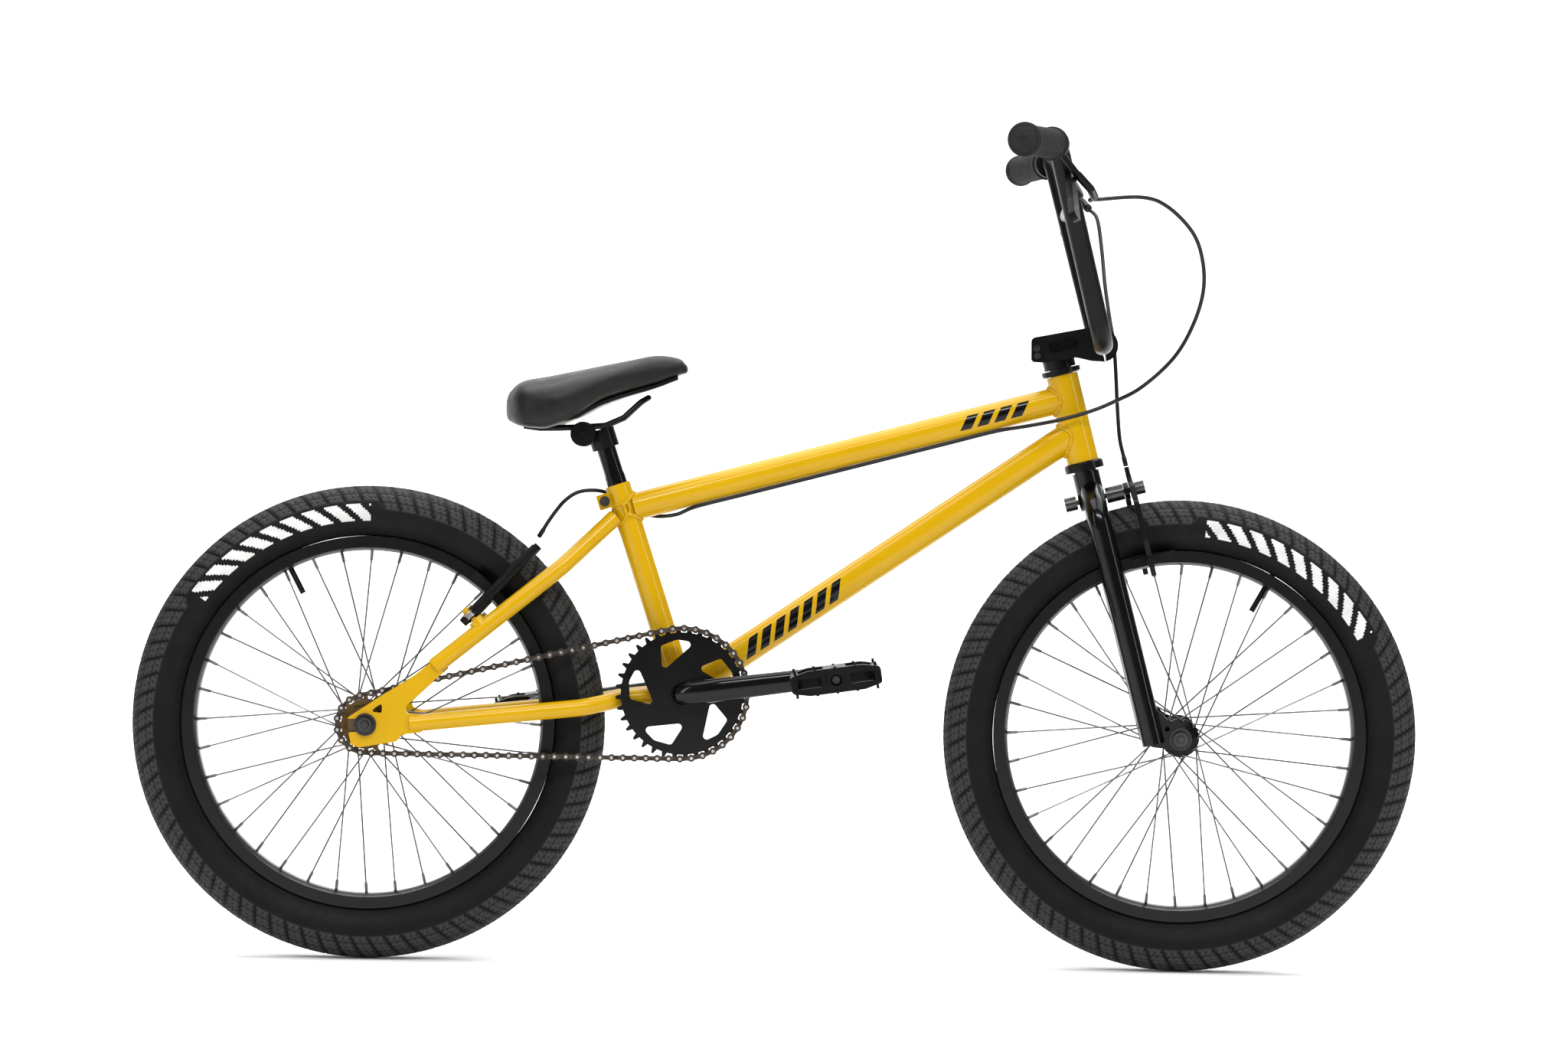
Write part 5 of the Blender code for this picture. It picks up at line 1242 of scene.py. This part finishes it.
# Rear linear-pull brake on the seatstay bosses
arm_way = Vector((0.678, 0.0, 0.735))
for side, name in ((-1, "right"), (1, "left")):
    base = Vector((-0.326, side * 0.0494, 0.374))
    hinge = base + boss_way * 0.0205
    on = "rear_arm_" + name[0]
    points = []
    for along, y in ((-0.012, 0.0494), (0.0, 0.0494), (0.03, 0.045), (0.06, 0.042),
        (0.092, 0.0405), (0.105, 0.0395)):
        points.append(Vector((0, side * y, 0)) + Vector((hinge.x, 0, hinge.z)) + arm_way * along)
    scales = [(0.7, 0.7), (0.92, 1.1), (0.92, 1.0), (0.9, 0.9), (0.8, 0.8), (0.7, 0.7)]
    arm_obj = place("rear_brake_arm_" + name,
        swept(points, circle(0.0068, 36, 0.0055), boss_way, scales=scales),
                    PLASTIC, on)
    cut(arm_obj, rod(base, base + boss_way * 0.05, 0.0044, 24))
    stud = Vector((hinge.x, side * 0.045, hinge.z)) + arm_way * 0.0314
    join(arm_obj, rod(stud, stud + LEFT * (side * 0.011), 0.006, 6))
    radial = Vector((stud.x - REAR_AXLE.x, 0, stud.z - REAR_AXLE.z)).normalized()
    rim_track = REAR_AXLE + radial * 0.202 + LEFT * (side * 0.0235)
    pad_obj = place("rear_brake_pad_" + name,
        box(rim_track, radial.cross(LEFT), radial, (0.06, 0.0105, 0.01)),
                    TYRE_BLACK, on)
    foot = Vector((stud.x, side * 0.027, stud.z))
    join(pad_obj, rod(foot, Vector((stud.x, side * 0.0375, stud.z)), 0.0045, 8))


# Cables, each one housing from its lever to its brake
steering_turn = Matrix.Rotation(radians(STEER_REST), 4, HEAD_UP)


def when_steered(point):
    return HEAD_CENTRE + steering_turn @ (point - HEAD_CENTRE)


def cable(name, points, on="frame"):
    """A round housing along a smooth curve, with a crimped ferrule at each end, made in the housing's
    black material.
    """
    body = swept(points, circle(0.00225, 20))
    ends = [(points[0], points[6]), (points[-1], points[-7])]
    for tip, inner in ends:
        way = (inner - tip).normalized()
        turned([(0, 0.0002), (0.0026, 0.0002), (0.0028, 0.0008), (0.0028, 0.0105), (0.0024, 0.0112),
            (0, 0.0112)],
               tip, way, 24, into=body)
    return place(name, body, CABLE_BLACK, on)


barrel, way = lever_barrel["left"]
front_route = [
    barrel + way * 0.0006, barrel + way * 0.007, steer(0.084, 0.142, 0.215),
    steer(0.08, 0.12, 0.178),
    steer(0.0735, 0.093, 0.1389), steer(0.069, 0.07, 0.1), steer(0.0665, 0.056, 0.072),
    steer(0.061, 0.048, 0.04), steer(0.053, 0.04, 0.0002), steer(0.047, 0.033, -0.035),
    steer(0.0465, 0.0302, -0.057), steer(0.0465, 0.03, -0.0672),
]
cable("front_brake_cable", curved(front_route, 14), "steering")


def under_top_tube(x, y):
    return Vector((x, y, 0.5142 + 0.2705 * (x + 0.1517) - 0.0173))


barrel, way = lever_barrel["right"]
rear_route = [when_steered(barrel + way * 0.0012), when_steered(barrel + way * 0.012)]
for x, y, z in (
    (0.389, -0.132, 0.862), (0.42, -0.11, 0.854), (0.4504, -0.085, 0.8285),
    (0.4644, -0.066, 0.8004),
    (0.4681, -0.053, 0.765), (0.4586, -0.043, 0.7267), (0.438, -0.037, 0.689),
    (0.4031, -0.033, 0.6557),
    (0.372, -0.03, 0.6385), (0.3447, -0.029, 0.627), (0.3105, -0.027, 0.617),
    (0.277, -0.017, 0.61),
):
    rear_route.append(Vector((x, y, z)))
for x in (0.2426, 0.187, 0.131, 0.075, 0.019, -0.037, -0.092):
    rear_route.append(under_top_tube(x, -0.0085))
for x, y, z in (
    (-0.115, 0.0, 0.5035), (-0.14, 0.013, 0.5015), (-0.162, 0.0205, 0.5085),
    (-0.18, 0.0225, 0.5195),
    (-0.196, 0.022, 0.5275), (-0.212, 0.02, 0.529), (-0.227, 0.0175, 0.526),
    (-0.24, 0.016, 0.517),
    (-0.25, 0.0158, 0.505), (-0.259, 0.018, 0.492), (-0.265, 0.0205, 0.482),
    (-0.269, 0.0225, 0.4755),
):
    rear_route.append(Vector((x, y, z)))
cable("rear_brake_cable", curved(rear_route, 12))


# Weld beads where the frame's tubes meet
def weld(start, way, radius, other_point, other_axis, other_radius, into, size=0.0022, ripples=46):
    """A rippled bead along the curve where one round tube runs into another."""
    way = way.normalized()
    other_axis = other_axis.normalized()
    side, up = across(way)
    path = []
    steps = 140
    for k in range(steps):
        angle = 2 * pi * k / steps
        base = start + (side * cos(angle) + up * sin(angle)) * radius
        gap = base - other_point
        flat_gap = gap - other_axis * gap.dot(other_axis)
        flat_way = way - other_axis * way.dot(other_axis)
        a = flat_way.dot(flat_way)
        b = 2 * flat_gap.dot(flat_way)
        c = flat_gap.dot(flat_gap) - other_radius ** 2
        root = b * b - 4 * a * c
        if root < 0:
            travel = -b / (2 * a)
        else:
            travel = (-b - sqrt(root)) / (2 * a)
        path.append(base + way * travel)
    rings = []
    for k, point in enumerate(path):
        along = (path[(k + 1) % steps] - path[k - 1]).normalized()
        out, lift = across(along, (point - start).cross(along))
        thick = size * (1.0 + 0.16 * sin(2 * pi * ripples * k / steps))
        ring = []
        for turn in range(10):
            angle = 2 * pi * turn / 10
            ring.append(into.verts.new(point + (out * cos(angle) + lift * sin(angle)) * thick))
        rings.append(ring)
    skin(into, rings, loop=True)


beads = bmesh.new()
weld(top_front - top_way * 0.08, top_way, 0.0155, HEAD_CENTRE, HEAD_UP, 0.018, beads)
weld(down_front - down_way * 0.08, down_way, 0.0166, HEAD_CENTRE, HEAD_UP, 0.018, beads)
weld(top_rear + top_way * 0.08, -top_way, 0.0155, BB_CENTRE, SEAT_UP, 0.0143, beads)
weld(BB_CENTRE + down_way * 0.09, -down_way, 0.0166, BB_CENTRE, LEFT, 0.0285, beads)
weld(BB_CENTRE + SEAT_UP * 0.09, -SEAT_UP, 0.0143, BB_CENTRE, LEFT, 0.0285, beads)
for side in (-1, 1):
    stay_low = Vector((-0.24, side * 0.038, 0.4437))
    stay_way = Vector((-0.183, side * 0.012, 0.499)) - stay_low
    weld(stay_low, stay_way, 0.0095, BB_CENTRE, SEAT_UP, 0.0143, beads, 0.0017, 36)
bead_obj = place("weld_beads", beads, YELLOW)
bead_obj["stands_for"] = ""


# Plain slanted bars in place of the frame's lettering
def wrapped_bars(origin, way, radius, first, count, length, gap, low, high, lean, into):
    """Thin patches on a tube's right side; low and high are angles round it from straight right."""
    way = way.normalized()
    out = Vector((0.0, -1.0, 0.0))
    up = way.cross(out).normalized()
    if up.z < 0:
        up = -up
    for k in range(count):
        start = first + k * (length + gap)
        rows = []
        for i in range(9):
            angle = radians(low + (high - low) * i / 8)
            shift = lean * (i / 8 - 0.5)
            row = []
            for j in range(7):
                at = origin + way * (start + shift + length * j / 6)
                row.append((at, out * cos(angle) + up * sin(angle)))
            rows.append(row)
        for layer in (radius - 0.0006, radius + 0.00012):
            grid = [[into.verts.new(at + turn * layer) for at, turn in row] for row in rows]
            for i in range(8):
                for j in range(6):
                    into.faces.new((grid[i][j], grid[i][j + 1], grid[i + 1][j + 1], grid[i + 1][j]))


bars = bmesh.new()
wrapped_bars(BB_CENTRE, down_way, 0.0166, 0.088, 7, 0.012, 0.0065, -34, 34, 0.016, bars)
wrapped_bars(top_front, top_way, 0.0155, -0.118, 4, 0.013, 0.0065, -26, 30, 0.012, bars)
mark = bpy.data.meshes.new("frame_bars")
bars.to_mesh(mark)
bars.free()
mark.materials.append(GLOSS_BLACK)
add_mesh("frame_bars", mark, "", "frame")


# Return springs on the rear brake bosses
springs = bmesh.new()
for side in (-1, 1):
    coil = []
    for k in range(73):
        angle = 2 * pi * 4 * k / 72
        away = boss_way * (0.0175 + 0.0075 * k / 72)
        ring_way = LEFT.cross(boss_way).normalized()
        coil.append(Vector((stay_point.x, side * abs(stay_point.y), stay_point.z)) + away
                    + (LEFT * cos(angle) + ring_way * sin(angle)) * 0.0062)
    swept(coil, circle(0.0007, 8), into=springs)
spring_obj = place("brake_springs", springs, STEEL)
spring_obj["stands_for"] = ""


# Studio: pale floor with a soft sweep behind it, broad soft lights and the camera
def soft_light(name, location, aim, size, power, colour=(1.0, 1.0, 1.0), size_y=None):
    data = bpy.data.lights.new(name, "AREA")
    data.energy = power
    data.color = colour
    data.shape = "RECTANGLE"
    data.size = size
    data.size_y = size_y or size
    lamp = bpy.data.objects.new(name, data)
    bpy.context.scene.collection.objects.link(lamp)
    lamp.location = location
    lamp.rotation_mode = "QUATERNION"
    lamp.rotation_quaternion = (Vector(aim) - Vector(location)).to_track_quat("-Z", "Y")


floor_mesh = bpy.data.meshes.new("studio_floor")
floor_bm = bmesh.new()
profile = [(-14.0, -0.0005), (4.0, -0.0005)]
for i in range(1, 13):
    angle = pi / 2 * i / 12
    profile.append((4.0 + 3.0 * sin(angle), -0.0005 + 3.0 * (1 - cos(angle))))
profile.append((7.0, 12.0))
sheet_rows = [[floor_bm.verts.new((x, y, z)) for y, z in profile] for x in (-16.0, 16.0)]
for i in range(len(profile) - 1):
    floor_bm.faces.new((sheet_rows[0][i], sheet_rows[1][i], sheet_rows[1][i + 1], sheet_rows[0][i + 1]))
floor_bm.to_mesh(floor_mesh)
floor_bm.free()
floor_mesh.shade_smooth()
backdrop = bpy.data.objects.new("studio_floor", floor_mesh)
bpy.context.scene.collection.objects.link(backdrop)
white, _, white_shader = shader_of("studio_white")
white_shader.inputs["Base Color"].default_value = (0.9, 0.9, 0.9, 1.0)
white_shader.inputs["Roughness"].default_value = 0.9
white_shader.inputs["Specular IOR Level"].default_value = 0.1
floor_mesh.materials.append(white)

soft_light("key_overhead", (0.0, 0.3, 4.2), (0.0, 0.3, 0.0), 6.5, 350, size_y=5.0)
soft_light("side_left", (-3.6, -2.2, 1.6), (0.0, 0.0, 0.5), 0.15, 22, size_y=2.6)
soft_light("side_right", (3.6, -2.0, 1.6), (0.1, 0.0, 0.5), 0.15, 22, size_y=2.6)
soft_light("backdrop_wash", (0.0, 2.6, 4.6), (0.0, 6.5, 1.4), 6.0, 380, size_y=2.0)
soft_light("front_high", (0.0, -3.4, 3.2), (0.0, 0.0, 0.4), 3.4, 105, size_y=0.35)

world = bpy.data.worlds.new("studio")
bpy.context.scene.world = world
world.use_nodes = True
world.node_tree.nodes["Background"].inputs["Color"].default_value = (1.0, 1.0, 1.0, 1.0)
world.node_tree.nodes["Background"].inputs["Strength"].default_value = 0.18

yaw = radians(0.7435)
pitch = radians(0.7209)
roll = radians(-1.0415)
ahead = Vector((sin(yaw) * cos(pitch), cos(yaw) * cos(pitch), -sin(pitch)))
right = ahead.cross(Vector((0, 0, 1))).normalized()
upward = right.cross(ahead)
side_axis = right * cos(roll) - upward * sin(roll)
up_axis = right * sin(roll) + upward * cos(roll)
camera_data = bpy.data.cameras.new("camera")
camera_data.lens = 109.4
camera_data.sensor_width = 36.0
camera = bpy.data.objects.new("camera", camera_data)
bpy.context.scene.collection.objects.link(camera)
camera.matrix_world = Matrix((
    (side_axis.x, up_axis.x, -ahead.x, -0.0627),
    (side_axis.y, up_axis.y, -ahead.y, -5.3516),
    (side_axis.z, up_axis.z, -ahead.z, 0.5642),
    (0, 0, 0, 1),
))
bpy.context.scene.camera = camera
bpy.context.scene.view_settings.view_transform = "Standard"

done()
